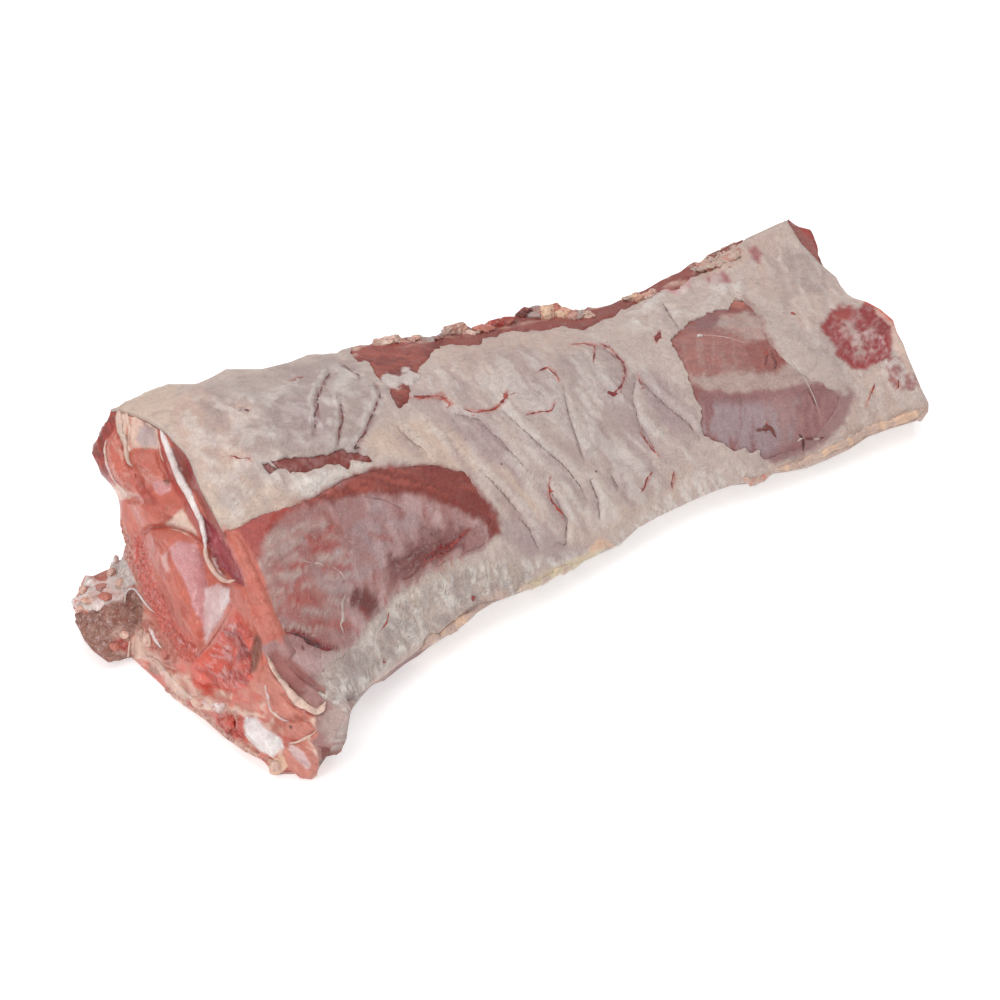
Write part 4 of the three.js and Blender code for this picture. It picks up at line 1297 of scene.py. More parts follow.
    Streak("foot's rim", "muscle pale", dots(95,650, 128,669, 150,686, 180,698, 210,718, 235,743, 262,758,
        275,766), (3, 4, 4, 4), 4, 0.85, 0.6, 2),
    Patch("hip bone", "cream", dots(186,695, 208,697, 223,703, 228,711, 214,713, 200,708), 3, 0.95, 0.8),
    Patch("hip marrow", "marrow", dots(210,714, 222,709, 235,712, 245,722, 243,736, 235,741, 222,733,
        211,723), 3, 0.95, 0.4, ragged=2.5),
    Patch("cartilage", "cartilage", dots(245,717, 257,719, 268,730, 281,740, 283,748, 273,756, 260,751,
        247,738, 243,726), 2.5, 1, 1.2, 6, wet=0.9),
    Patch("cream tip", "fat orange", dots(268,759, 281,756, 289,765, 281,773, 272,781, 268,770), 2.5, 0.95,
        1.0),
    Streak("bone's white", "cream", dots(134,644, 146,655, 158,664, 168,678, 180,693, 196,702, 216,706,
        236,712), (5, 5, 3, 4, 5, 4), 4, 0.8, 0.9, 3),
    Streak("bone's lower edge", "cream", dots(142,684, 165,694, 182,703, 205,718, 228,738, 255,756), (1, 3, 2,
        3, 1.5), 3, 0.7, 0.5, 3),
    Patch("red spot", "marrow", dots(186,700, 193,698, 197,703, 190,707), 3, 0.8),
    Patch("red spot", "marrow", dots(150,676, 158,674, 161,680, 154,684), 3, 0.8),
    Patch("red lobe", "muscle bright", dots(192,676, 204,674, 211,683, 204,690, 194,686), 3, 0.9, 1.2, 5,
        wet=0.9),
    Patch("nub's ring", "muscle pale", dots(138,624, 150,619, 163,630, 176,652, 178,664, 168,666, 152,654,
        141,640), 3, 0.7, 1.4, 6, wet=0.8),
    Streak("nub's groove", "cream", dots(138,622, 137,634, 145,650, 160,664, 176,669), (0.8, 1.2, 0.8), 1.6, 0.8,
        -0.6),
    Patch("fold's film", "cream", dots(124,404, 136,403, 144,415, 149,424, 157,427, 158,441, 157,450, 143,448,
        131,449, 127,453, 124,447, 121,437, 117,427, 117,416, 119,409), 2.5, 0.95, 1.0, wet=0.6),
    # painted shade in the hollow beside the ribbon
    Streak("painted shade in the ribbon's hollow", "fascia pink", dots(139,404, 142,416, 150,427), (3, 4, 3), 3, 0.9, -0.6),
    Patch("blue film", "fascia blue", dots(139,426, 155,428, 157,447, 142,446, 135,440), 5, 0.7, wet=1.0),
    Patch("fat's corner", "fat cream", dots(132,404, 150,394, 170,392, 173,410, 171,424, 166,428, 157,428,
        147,425, 140,412), 3, 1, 1.2),
    Streak("ribbon's shade", "muscle pale", dots(128,410, 130,421, 127,432, 131,447), (0.6, 1.0), 1.5, 0.7, -0.6),
    Patch("vertebra", "bone grey", dots(86,612, 105,602, 119,601, 125,597, 127,590, 135,588, 143,597, 145,610,
        141,620, 135,630, 132,640, 131,655, 131,673, 117,666, 100,655, 80,642, 70,627, 70,612), 2.5, 1,
        ragged=1.5),
    Patch("canal's fat", "fat white", dots(85,574, 95,580, 107,582, 110,562, 117,553, 126,560, 133,575,
        136,584, 127,588, 124,593, 122,600, 115,602, 105,605, 90,611, 79,608, 70,606, 68,596, 79,594,
        82,583), 3, 0.95, 0.6),
    Patch("canal's pink", "muscle pale", dots(92,592, 104,588, 116,590, 118,598, 104,602, 92,604), 5, 0.35,
        ragged=4),
    Patch("vertebra's marrow", "cream", dots(112,632, 120,627, 130,634, 131,650, 125,658, 120,656, 114,652), 4,
        0.85, ragged=2),
    Patch("marrow's red", "marrow", dots(116,641, 125,637, 131,645, 127,654, 117,653), 4, 0.9, ragged=2),
    Streak("joint", "gap", dots(132,640, 130,655, 129,671), (0.5, 0.9), 1.4, 0.7, -0.6),
)

CUT_CELLS = (330, 215)
CUT_RINGS = 6
CUT_THICK = 11.0
CUT_MIDDLE = (0, 15.0, 45.0)
CUT_OUT = Vector((-0.8, -0.35, 0.45)).normalized()  # the way its relief stands out
# where the flank's wall turns the corner
WALL_RIM = dots(228,540, 238,542, 292,652, 272,664, 262,640, 240,575)
GRAINY = ("grainy left rim", "wet strip", "foot's rim", "hip marrow", "canal's pink", "joint's flesh", "vertebra",
          "vertebra's marrow")


def cut_relief(points):
    """The cut's paint and relief over some points, with the grainy places roughened: painted silver highlights on the
    raised nubs and painted shade in the low places between them.
    """
    coat = Coat(points, "muscle", 0.7).lay(CUT)
    grain = np.zeros(len(points))
    for layer in CUT:
        if layer.name in GRAINY:
            grain = np.maximum(grain, layer.cover(coat.px, coat.rough)[0])
    nubs = np.abs(noise(points, 2.3, 83, 2)) + 0.5 * noise(points, 1.1, 85)
    coat.grain[:], coat.threads[:] = grain, 0.1
    coat.rise += grain * (nubs * 1.5 - 0.3) + 0.35 * noise(points, 4.5, 87, 3)
    # painted light on the grain: silver highlight on the raised nubs, shade in the low places
    coat.tint(slice(None), "silver", grain * ease(nubs * 3 - 1.3) * 0.6)
    coat.tint(slice(None), "muscle deep", grain * ease(0.25 - nubs * 2) * 0.5)
    mottle = noise(points, 5, 89, 4)
    coat.colour *= 1 + 0.16 * mottle[:, None]
    return coat


def make_cut():
    """The chump's cut face, a thick sheet laid over the meat's own end."""
    bm, _, _ = grid_mesh(*CUT_CELLS)
    skirt(bm, CUT_RINGS, bm.verts.layers.float.new("front"))
    piece = to_object("chump_cut", bm)
    u, w, front = read(piece, "a"), read(piece, "b"), read(piece, "front")
    wall = ease(inside(photo_px(meat_point(0 * u, u, w, FAT)), WALL_RIM) / 6 + 1)
    flat = meat_point(0 * u, u, w, FAT - 0.9 - 1.9 * wall + 3.2 * ease((1 - front) * (2.5 - 1.2 * wall)))
    rim = ease(np.minimum(np.minimum(u * CUT_CELLS[0], (1 - u) * CUT_CELLS[0]),
                          np.minimum(w * CUT_CELLS[1], (1 - w) * CUT_CELLS[1])) / 5)
    coat = cut_relief(flat)
    coat = cut_relief(flat + coat.rise[:, None] * np.array(CUT_OUT))
    edge_nubs = 1.2 * noise(flat, 3.5, 91, 3) + 0.7 * noise(flat, 1.6, 93, 2)
    points = flat + (coat.rise * rim)[:, None] * np.array(CUT_OUT)
    outwards = flat - np.array(CUT_MIDDLE)
    outwards[:, 0] = 0
    outwards /= np.linalg.norm(outwards, axis=1, keepdims=True)
    points += outwards * (edge_nubs * (1 - rim) * front)[:, None]
    points[:, 0] += CUT_THICK * (1 - front) + 1.2 * (1 - rim) * front
    points = trim(points)
    points[:, 2] = np.maximum(points[:, 2], 0.05)
    return settle(piece, points, coat)


# ---- Bones of the cut ----

# For each node: its cells along, across and up, how round it is, how far past its box it reaches, how lumpy it is, and
# how far its foot stands out.
FOOT_WAY = (-0.616, -0.788, 0)  # towards the camera over the board
BONES = {
    "sacrum": ((26, 48, 34), 0.72, 1.12, 1.4, 13.0),
    "hip_bone": ((14, 44, 20), 0.4, 1.0, 1.0, 0.0),
    "hip_cartilage": ((10, 30, 24), 0.6, 1.0, 0.6, 0.0),
}


def make_bone(node, cells, roundness, reach, lumps, foot):
    """A lumpy block with soft corners in a node's box, painted as the rest of the cut."""
    low, high = (np.array(c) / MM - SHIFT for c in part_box(node))
    bm = bmesh.new()
    bmesh.ops.create_cube(bm, size=2)
    for axis, count in enumerate(cells):
        along_axis = [e for e in bm.edges if abs(abs((e.verts[0].co - e.verts[1].co)[axis]) - 2) < 1e-4]
        bmesh.ops.subdivide_edges(bm, edges=along_axis, cuts=count, use_grid_fill=True)
    piece = to_object(node + "_dressed", bm)
    unit = np.zeros(len(piece.data.vertices) * 3)
    piece.data.vertices.foreach_get("co", unit)
    unit = unit.reshape(-1, 3)
    squares = unit**2
    ball = unit * np.sqrt(1 - (squares[:, [1, 2, 0]] + squares[:, [2, 0, 1]]) / 2
                          + squares[:, [1, 2, 0]] * squares[:, [2, 0, 1]] / 3)
    unit = unit + (ball - unit) * roundness
    flat = (low + high) / 2 + unit * (high - low) / 2 * reach
    flat += foot * (1 - unit[:, 2:]) / 2 * np.array(FOOT_WAY)
    coat = cut_relief(flat)
    lump = lumps * (1.1 * noise(flat, 8, 95, 3) + 0.5 * noise(flat, 2.4, 97, 3))
    away = unit / np.linalg.norm(unit, axis=1, keepdims=True)
    coat.tint(slice(None), "bone pink", ease(-(away @ BACK) * 3))
    points = flat + away * lump[:, None] + (coat.rise * 0.6)[:, None] * np.array(CUT_OUT)
    points = trim(points)
    points[:, 2] = np.maximum(points[:, 2], 0.05)
    return settle(piece, points, coat)


# ---- Cords, vessels and cracks laid on a surface ----


class Cord(NamedTuple):
    """A thin closed strip along a line of the photograph's pixels. Widths and height are in millimetres."""

    tone: str
    line: tuple
    wide: tuple = (0.3, 0.3)  # half widths along the way
    high: float = 0.15
    wobble: float = 0.8  # of its line, in pixels
    ragged: float = 0.25  # of its width, as a share
    fray: str = None  # tone that mottles it


CORD_SIDES = 8
CORD_STEP_PX = 1.5
CORD_ROOT = 0.35  # how deep a cord's underside lies in what carries it


def line_of_sight(x, y):
    """The way from the camera through one pixel."""
    return Vector((x - PHOTO_PX / 2) * RIGHT - (y - PHOTO_PX / 2) * UP - CAMERA["focal_px"] * BACK).normalized()


def seen_on(tree, px):
    """Where the lines of sight through some pixels meet a surface, with its normals."""
    eye = Vector((EYE_POINT + SHIFT) * MM)
    hits = [tree.ray_cast(eye, line_of_sight(*spot))[:2] for spot in px]
    found = np.array([(*at, *normal) for at, normal in hits if at is not None]).reshape(-1, 6)
    return found[:, :3] / MM - SHIFT, found[:, 3:]


def even_steps(line, wobble, seed):
    """A line of pixels with its corners rounded, in even steps and a little unsteady."""
    line = np.array(line, float)
    run = np.concatenate([[0], np.cumsum(np.hypot(*np.diff(line, axis=0).T))])
    at = np.linspace(0, run[-1], max(5, int(run[-1] / CORD_STEP_PX)))
    px = np.stack([np.interp(at, run, line[:, k]) for k in (0, 1)], -1)
    for _ in range(3):
        px[1:-1] = (px[:-2] + 2 * px[1:-1] + px[2:]) / 4
    spot = np.stack([at, 0 * at + 17 * seed, 0 * at], -1)
    return px + wobble * np.stack([noise(spot, 9, 1, 3), noise(spot, 9, 2, 3)], -1) * 1.5


def spread(values, t):
    """Reads a row of values at shares t of its length."""
    return np.stack([np.interp(t * (len(values) - 1), np.arange(len(values)), v) for v in values.T], -1)


def lay_cords(name, cords, ground, wet):
    """All cords of one kind, each a sphere drawn out along its line on the ground."""
    tree = BVHTree.FromObject(ground, bpy.context.evaluated_depsgraph_get())
    bm = bmesh.new()
    tone = bm.verts.layers.float_vector.new("tone")
    for seed, cord in enumerate(cords):
        spots, normals = seen_on(tree, even_steps(cord.line, cord.wobble, seed))
        if len(spots) < 4:
            continue
        for _ in range(2):
            spots[1:-1] = (spots[:-2] + 2 * spots[1:-1] + spots[2:]) / 4
            normals[1:-1] = normals[:-2] + normals[1:-1] + normals[2:]
        ways = np.gradient(spots, axis=0)
        made = bmesh.ops.create_uvsphere(bm, u_segments=CORD_SIDES, v_segments=len(spots), radius=1)["verts"]
        unit = np.array([v.co for v in made])
        t = np.arccos(np.clip(unit[:, 2], -1, 1)) / np.pi
        turn = np.arctan2(unit[:, 1], unit[:, 0])
        at, up, way = spread(spots, t), spread(normals, t), spread(ways, t)
        up /= np.linalg.norm(up, axis=1, keepdims=True)
        side = np.cross(up, way)
        side /= np.linalg.norm(side, axis=1, keepdims=True) + 1e-9
        half = np.interp(t, np.linspace(0, 1, len(cord.wide)), cord.wide)
        taper = np.sqrt(np.clip(np.sin(t * np.pi) * 3, 0, 1))
        half = half * taper * (1 + cord.ragged * 2 * noise(at, 1.6, 7 + seed, 2))
        lift = np.where(np.sin(turn) > 0, cord.high * np.sin(turn), CORD_ROOT * np.sin(turn))
        lift = lift * np.clip(np.sin(t * np.pi) * 4, 0, 1)
        points = at + side * (half * np.cos(turn))[:, None] + up * lift[:, None]
        colour = np.tile(TONES[cord.tone], (len(points), 1))
        if cord.fray:
            share = ease(noise(at, 3.0, 19 + seed, 3) * 3 + 0.3)[:, None]
            colour += (TONES[cord.fray] - colour) * share
        for v, point, c in zip(made, points, colour):
            v.co = Vector((point + SHIFT) * MM)
            v[tone] = Vector(c)
    return painted(name, bm, wet)


def painted(name, bm, wet):
    """Makes the object of a bmesh whose vertices keep their own tone."""
    piece = to_object(name, bm)
    coat = Coat(corners(piece), "fat", wet)
    tones = np.zeros(len(coat.points) * 3)
    piece.data.attributes["tone"].data.foreach_get("vector", tones)
    coat.colour[:] = tones.reshape(-1, 3)
    coat.keep(piece)
    face_out(piece)
    return piece


TWIG_PX = 7.0


def blood_cords():
    """The vessels with their side twigs."""
    chance = np.random.default_rng(4)
    for i, line in enumerate(VESSELS):
        half = 0.24 * STRONG_VESSELS.get(i, 1.0) + 0.08
        yield Cord("blood", line, (half * 0.4, half, half * 0.6, half * 1.2, half * 0.3), 0.08, 1.8, 1.0, "vessel")
        for _ in range(3 if i in STRONG_VESSELS else 1):
            k = chance.integers(0, len(line) - 1)
            root = np.array(line[k]) + (np.array(line[k + 1]) - line[k]) * chance.random()
            turn = chance.random() * 2 * np.pi
            tip = root + TWIG_PX * (0.5 + chance.random()) * np.array([np.cos(turn), np.sin(turn)])
            yield Cord("vessel", (root, (root + tip) / 2 + 1, tip), (half * 0.6, half * 0.2), 0.05, 1.2, 0.6)


SKIN_CORDS = (
    Cord("blood", dots(285,633, 293,633, 302,637, 311,643, 320,647, 333,650), (0.2, 0.7, 0.9, 0.4), 0.12, 1.4,
        0.6, "blood dark"),
    Cord("blood", dots(436,552, 441,548, 446,547, 451,549), (0.5, 1.6, 1.3, 0.4), 0.5, 1.4, 0.8, "blood dark"),
    Cord("blood", dots(426,560, 434,554, 440,551), (0.5, 0.9, 0.6), 0.4, 1, 0.6, "blood dark"),
    Cord("blood", dots(449,548, 457,541, 467,530), (0.8, 0.45, 0.25), 0.2, 1, 0.5, "muscle deep"),
    Cord("muscle dry", dots(418,549, 421,561, 417,572, 408,578, 400,580), (0.2, 0.45, 0.25), 0.15, 0.6, 0.3),
    Cord("muscle dusk", dots(360,497, 385,500, 404,510), (0.15, 0.3, 0.15), 0.12, 1.2, 0.4),
    Cord("fascia cream", dots(347,592, 343,600, 342,612, 341,625, 344,634), (0.2, 0.5, 0.7, 0.3), 0.2, 1.6, 0.6,
        "fat"),
    Cord("fascia cream", dots(300,558, 306,563, 316,562, 324,567), (0.1, 0.25, 0.2), 0.1, 2.0, 0.6, "silver"),
    Cord("fascia cream", dots(330,566, 338,570, 345,580), (0.1, 0.25, 0.15), 0.1, 2.0, 0.6, "silver"),
    Cord("fat", dots(736,292, 748,298, 761,308, 771,322, 775,332), (0.2, 0.55, 0.45, 0.3), 0.3, 0.6, 0.3,
        "fat cream"),
    Cord("fat", dots(772,330, 786,350, 804,376, 813,395, 821,416), (0.25, 0.2, 0.25, 0.12), 0.15, 0.8, 0.4,
        "fat white"),
    Cord("silver", dots(700,335, 725,336, 745,343), (0.1, 0.22, 0.1), 0.12, 0.8, 0.4),
    Cord("fat white", dots(697,337, 700,333, 702,337), (0.5, 0.7, 0.5), 0.5, 0.5, 0.4),
    Cord("muscle dry", dots(755,430, 764,429, 769,426, 774,432, 777,438), (0.3, 0.8, 1.2, 0.7, 0.2), 0.5, 1.8,
        0.8, "vessel"),
    Cord("vessel", dots(766,422, 769,428, 765,433), (0.2, 0.5, 0.2), 0.4, 1.2, 0.6),
    Cord("blood dark", dots(764,429, 767,423), (0.6, 0.3), 0.4, 0.5, 0.5),
    Cord("blood dark", dots(800,434, 804,440, 803,452), (0.5, 0.6, 0.3), 0.4, 1.4, 0.5),
    Cord("muscle dry", dots(796,441, 806,439, 815,441, 824,437), (0.3, 0.5, 0.3), 0.35, 2.0, 0.6, "fat"),
    Cord("muscle dry", dots(807,390, 811,398, 817,405), (0.3, 0.5, 0.2), 0.25, 1.0, 0.5, "blood dark"),
    Cord("muscle dry", dots(762,346, 766,356, 764,366), (0.4, 0.7, 0.4), 0.3, 2.0, 0.7, "muscle deep"),
    Cord("muscle dry", dots(770,350, 776,362, 774,371), (0.3, 0.6, 0.3), 0.3, 2.0, 0.7, "blood dark"),
    Cord("blood", dots(471,599, 473,596, 475,600), (0.8, 1.1, 0.8), 0.35, 0.3, 0.4, "muscle deep"),
    Cord("muscle deep", dots(383,661, 386,663), (0.7, 0.7), 0.3, 0.4, 0.4),
    Cord("blood", dots(608,391, 612,396, 617,393), (0.7, 1.3, 0.7), 0.3, 0.8, 0.7, "vessel"),
    Cord("blood", dots(660,331, 658,337, 656,342), (0.5, 1.1, 0.6), 0.3, 0.8, 0.7, "vessel"),
    Cord("blood", dots(414,397, 421,398, 428,396), (0.5, 1.0, 0.6), 0.2, 0.8, 0.7, "vessel"),
    Cord("blood", dots(505,398, 506,393), (0.6, 0.9, 0.5), 0.2, 0.4, 0.6, "vessel"),
    Cord("crack", dots(501,463, 502,465), (0.5, 0.5), 0.2, 0.2, 0.3),
    Cord("crack", dots(595,471, 597,472), (0.5, 0.5), 0.2, 0.2, 0.3),
    Cord("muscle deep", dots(791,311, 794,316, 796,314), (0.6, 0.9, 0.5), 0.3, 1.0, 0.6, "blood"),
    Cord("muscle deep", dots(380,632, 387,622, 389,612), (0.15, 0.35, 0.15), 0.12, 0.8, 0.3),
)


HEM_CORDS = (
    Cord("fat pink", dots(926,408, 918,414, 905,418, 888,424, 868,431, 850,441, 828,452, 806,461, 788,467,
        774,469), (1.6, 2.2, 1.8, 2.0, 1.6, 1.8, 1.4, 1.6, 1.0), 1.4, 1.6, 0.3, "fat orange"),
    Cord("fat pink", dots(474,611, 462,620, 446,631, 430,641, 418,649), (0.8, 2.2, 2.6, 2.2, 1.0), 1.2, 1.5, 0.3,
        "fat orange"),
    Cord("fat yellow", dots(516,591, 530,586, 546,580, 560,571, 574,564), (0.6, 1.4, 1.6, 2.0, 1.6), 1.0, 1.2,
        0.3, "fat cream"),
    Cord("fat pink", dots(770,474, 762,478, 753,481, 742,479), (1.0, 1.8, 1.6, 0.8), 1.0, 1.5, 0.4,
        "muscle pale"),
)


def crack_cords():
    """Thin dark lines of painted shade in the creases and the cracks."""
    for line in CREASES:
        yield Cord("crease", line, (0.04, 0.2, 0.16, 0.22, 0.04), 0.03, 1.2, 0.6, "crack")
    for line in CRACKS:
        yield Cord("crack", line, (0.12, 0.4, 0.25, 0.5, 0.12), 0.05, 2.2, 0.9, "muscle dry")


CUT_CORDS = (
    Cord("cream", dots(120,407, 119,418, 121,430, 126,441, 127,451, 129,462, 133,468), (1.2, 1.9, 1.5, 1.1,
        0.5), 1.2, 0.8, 0.25, "fat cream"),
    Cord("cream", dots(126,405, 127,416, 130,427, 130,440), (0.3, 0.6, 0.4, 0.2), 0.9, 0.6, 0.3),
    Cord("white", dots(160,428, 165,440, 170,452, 176,470, 182,482, 190,495, 197,510, 202,522, 205,537,
        206,552), (1.1, 1.9, 1.8, 2.0, 1.8, 1.3, 1.1, 1.0), 1.5, 0.5, 0.12),
    Cord("cream", dots(205,545, 207,556, 211,566, 216,574, 223,580, 231,582, 237,580), (1.0, 1.2, 1.3, 1.1,
        0.5), 1.3, 0.6, 0.15),
    Cord("cream", dots(157,428, 158,438, 160,450, 164,462), (0.2, 0.35, 0.2), 0.5, 0.8, 0.3),
    Cord("cream", dots(107,438, 105,450, 107,465, 112,477, 119,486, 126,491), (0.3, 0.7, 0.8, 0.4), 0.5, 0.8,
        0.3, "silver"),
    Cord("cream", dots(170,529, 180,531, 190,536, 199,543), (0.1, 0.3, 0.1), 0.2, 0.6, 0.3, "muscle pale"),
    Cord("muscle deep", dots(232,605, 226,618, 216,635, 205,649, 192,661), (0.1, 0.25, 0.25, 0.1), 0.05, 0.8,
        0.3),
    Cord("cream", dots(267,654, 274,668, 282,682, 291,694, 302,704, 313,711, 321,711, 326,701), (0.3, 0.6,
        1.0, 1.4, 1.8, 1.6, 0.9), 1.8, 0.8, 0.25, "fat pink"),
    Cord("cream", dots(265,683, 268,700, 273,712, 281,719, 290,722), (0.3, 0.7, 0.8, 0.3), 0.5, 1.0, 0.4,
        "silver"),
    Cord("cream", dots(288,745, 298,742, 309,736, 317,729), (0.3, 0.6, 0.3), 0.8, 0.8, 0.3),
    Cord("white", dots(150,626, 154,637, 161,648), (0.5, 0.8, 0.4), 0.7, 1.2, 0.3, "cream"),
    Cord("cream", dots(142,655, 157,660, 170,677, 190,696, 212,706), (0.4, 0.8, 0.9, 0.6), 0.8, 1.5, 0.4,
        "silver"),
    Cord("white", dots(125,604, 125,595, 129,588, 135,588, 141,597, 147,606, 155,613), (0.3, 0.5, 0.55, 0.45,
        0.2), 0.6, 0.5, 0.2),
    Cord("cream", dots(130,640, 129,652, 127,664), (0.3, 0.6, 0.3), 0.5, 0.8, 0.3),
)


# ---- Torn scraps along the chine's upper edge ----

SCRAPS = (  # where they are seen, their half sizes in millimetres along, across and up, and their tone
    ((385, 341), (7, 3, 1.6), "cream"), ((396, 340), (4, 3, 2.0), "fat pink"), ((415, 339), (6, 2, 0.8), "cream"),
    ((433, 340), (6, 2, 0.9), "fat grey"), ((450, 333), (4, 3, 3.6), "fat pink"), ((459, 331), (4, 3, 4.2), "cream"),
    ((470, 333), (6, 2, 1.0), "cream"), ((484, 329), (5, 3, 1.5), "muscle pale"), ((500, 323), (8, 3, 1.6),
    "muscle deep"), ((524, 314), (5, 3, 2.6), "muscle dry"), ((534, 313), (6, 4, 3.0), "fat grey"), ((545, 314), (6,
    4, 3.4), "fat orange"), ((554, 311), (5, 4, 3.6), "muscle pale"), ((563, 314), (6, 3, 3.0), "fat orange"), ((574,
    316), (5, 3, 2.6), "fat"), ((585, 316), (5, 2, 1.6), "cream"), ((627, 300), (2, 2, 2.0), "fat pink"), ((636, 299),
    (4, 3, 2.2), "fat orange"), ((650, 296), (5, 3, 1.8), "cream"), ((694, 269), (2, 2, 1.6), "fat"), ((702, 266), (7,
    4, 1.2), "fat pink"), ((712, 262), (9, 5, 1.5), "fat pink"), ((725, 256), (11, 6, 1.4), "fat pink"), ((739, 247),
    (10, 4, 1.4), "fat pink"), ((716, 268), (11, 4, 0.9), "muscle pale"), ((735, 257), (10, 5, 0.9), "fat pink"),
    ((137, 396), (3, 2, 1.4), "cream"),
)


BONE_NUBS = (
    ((77, 601), (2.0, 2.2, 1.6), "white"), ((84, 590), (2.2, 2.0, 2.0), "cream"), ((92, 584), (2.0, 2.4, 2.2),
    "white"), ((101, 588), (2.4, 2.0, 1.6), "bone pink"), ((88, 601), (2.4, 3.0, 1.4), "cream"), ((105, 597), (2.4,
    3.2, 1.2), "muscle pale"), ((112, 574), (1.8, 2.2, 3.2), "cream"), ((116, 562), (1.4, 1.6, 3.0), "white"), ((121,
    583), (2.2, 2.2, 2.4), "cream"), ((98, 606), (3.0, 2.0, 1.0), "white"), ((80, 609), (2.0, 1.6, 1.2), "cream"),
    ((116, 646), (2.0, 2.0, 1.4), "muscle pale"), ((123, 635), (1.8, 2.0, 1.4), "cream"), ((148, 640), (2.0, 2.4,
    3.6), "cream"), ((166, 654), (2.0, 2.0, 2.6), "muscle pale"), ((200, 702), (3.0, 2.4, 2.0), "cream"), ((218, 707),
    (3.0, 2.4, 2.0), "white"), ((229, 722), (2.2, 2.2, 2.6), "marrow"), ((276, 766), (2.4, 2.0, 2.4), "cream"),
)


SCRAP_CUTS = 5


def make_scraps(name, places, ground, rise=1.0):
    """Torn lumps pressed into what carries them, where the lines of sight meet it."""
    tree = BVHTree.FromObject(ground, bpy.context.evaluated_depsgraph_get())
    bm = bmesh.new()
    tone = bm.verts.layers.float_vector.new("tone")
    for i, ((x, y), size, colour) in enumerate(places):
        spots, _ = seen_on(tree, [(x, y + drop) for drop in range(0, 16, 2)])
        if not len(spots):
            continue
        turn = Matrix.Rotation(0.4 * np.sin(i * 7.0), 4, "Z") @ Matrix.Diagonal((*(np.array(size) * MM), 1))
        middle = Vector((spots[0] + SHIFT) * MM)
        place_at = Matrix.Translation(middle) @ turn
        made = bmesh.ops.create_icosphere(bm, subdivisions=SCRAP_CUTS, radius=1, matrix=place_at)["verts"]
        for v in made:
            v[tone] = Vector(TONES[colour])
    for v in bm.verts:
        v.co = v.co / MM
    points = np.array([v.co for v in bm.verts])
    crumple = np.stack([noise(points, 3.6, seed, 4) for seed in (101, 103, 105)], -1) * (3.0, 2.4, 2.0) * rise
    streaks = ease(noise(points, 2.6, 107, 4) * 3)
    for v, point, share in zip(bm.verts, points + crumple, streaks):
        v.co = Vector(point * MM)
        v[tone] = v[tone].lerp(Vector(TONES["muscle pale"]), 0.6 * share)
    piece = painted(name, bm, 0.5)
    place(piece, trim(corners(piece), -1.5))
    face_out(piece)
    return piece


def joined(name, pieces):
    """A bare surface for the cords to lie on, made of several pieces."""
    bm = bmesh.new()
    for piece in pieces:
        bm.from_mesh(piece.data)
    return to_object(name, bm)


# ---- Materials ----


def tissue(name, dull, mottle, thread_tone):
    """Paint read from the mesh, broken up by clouds, specks, threads of film, wrinkles and torn grains, with painted
    shade in the wrinkles' sunken lines and the grains' hollows and a painted silver highlight on the grains' tops.
    """
    sh = Shader(name)
    tint, wet, threads, grain = sh.mark("tint", out="Color"), sh.mark("wet"), sh.mark("threads"), sh.mark("grain")
    cloud = sh.noise(13, 6, 0.7, twist=0.9)
    spots = sh.noise(3.4, 5, 0.72, (0.8, 1, 1), twist=1.3)
    fine = sh.noise(0.9, 3, 0.65)
    across = sh.noise(3.0, 4, 0.62, (1, 0.28, 0.28), twist=1.8)
    lengthwise = sh.noise(2.4, 4, 0.62, (0.22, 1, 1), twist=1.2)
    wrinkles = sh.noise(8, 4, 0.55, (1, 0.45, 0.45), twist=2.2)
    nubs = sh.noise(1.9, 2, 0.5, twist=2.4)
    web = sh.line(across, 0.04) * spots.between(0.46, 0.62) + sh.line(lengthwise, 0.035) * cloud.between(0.5, 0.62)
    shade = sh.mix(cloud.between(0.36, 0.64) * mottle, tint, (0.80, 0.74, 0.76), "MULTIPLY")
    shade = sh.mix(spots.between(0.38, 0.62) * mottle, shade, (0.84, 0.77, 0.77), "MULTIPLY")
    # painted shade along the wrinkles' sunken lines
    shade = sh.mix(sh.line(wrinkles, 0.016) * threads * 0.45, shade, (0.66, 0.54, 0.52), "MULTIPLY")
    shade = sh.mix(web * threads * 0.6, shade, tuple(TONES[thread_tone]))
    # painted shade in the grains' hollows, then a painted silver highlight on their tops
    shade = sh.mix(nubs.between(0.46, 0.34) * grain * 0.55, shade, (0.62, 0.36, 0.34), "MULTIPLY")
    shade = sh.mix(nubs.between(0.56, 0.68) * grain * 0.4, shade, tuple(TONES["silver"]))
    colour = sh.mix(fine.between(0.46, 0.32) * 0.34, shade, (0.70, 0.56, 0.56), "MULTIPLY")
    rough = dull - wet * (dull - 0.2) + fine * 0.12
    relief = sh.bump(fine, 0.2, under=sh.bump(spots, 0.6, under=sh.bump(cloud, 1.0)))
    relief = sh.bump(web * threads - sh.line(wrinkles, 0.03) * threads, 0.16, under=relief)
    relief = sh.bump(nubs * grain, 0.9, under=relief)
    return sh.finish(colour, rough, relief, Coat_Weight=wet * 0.6, Coat_Roughness=0.1, Subsurface_Weight=0.12,
                     Subsurface_Radius=(1.0, 0.45, 0.3), Subsurface_Scale=0.0025)


def spongy_bone():
    """Sawn vertebrae: brown-red marrow in a pale honeycomb."""
    sh = Shader("sawn_bone")
    cells = sh.cells(1.6)
    cloud = sh.noise(9, 4)
    colour = sh.mix(cloud.between(0.35, 0.65), tuple(TONES["bone grey"]), tuple(TONES["bone pink"]))
    colour = sh.mix(cells.between(0.1, 0.5) * 0.5, colour, tuple(TONES["cream"]))
    rough = sh.noise(3, 2) * 0.2 + 0.45
    return sh.finish(colour, rough, sh.bump(cells, 0.4), Coat_Weight=0.1, Subsurface_Weight=0.08,
                     Subsurface_Scale=0.002)


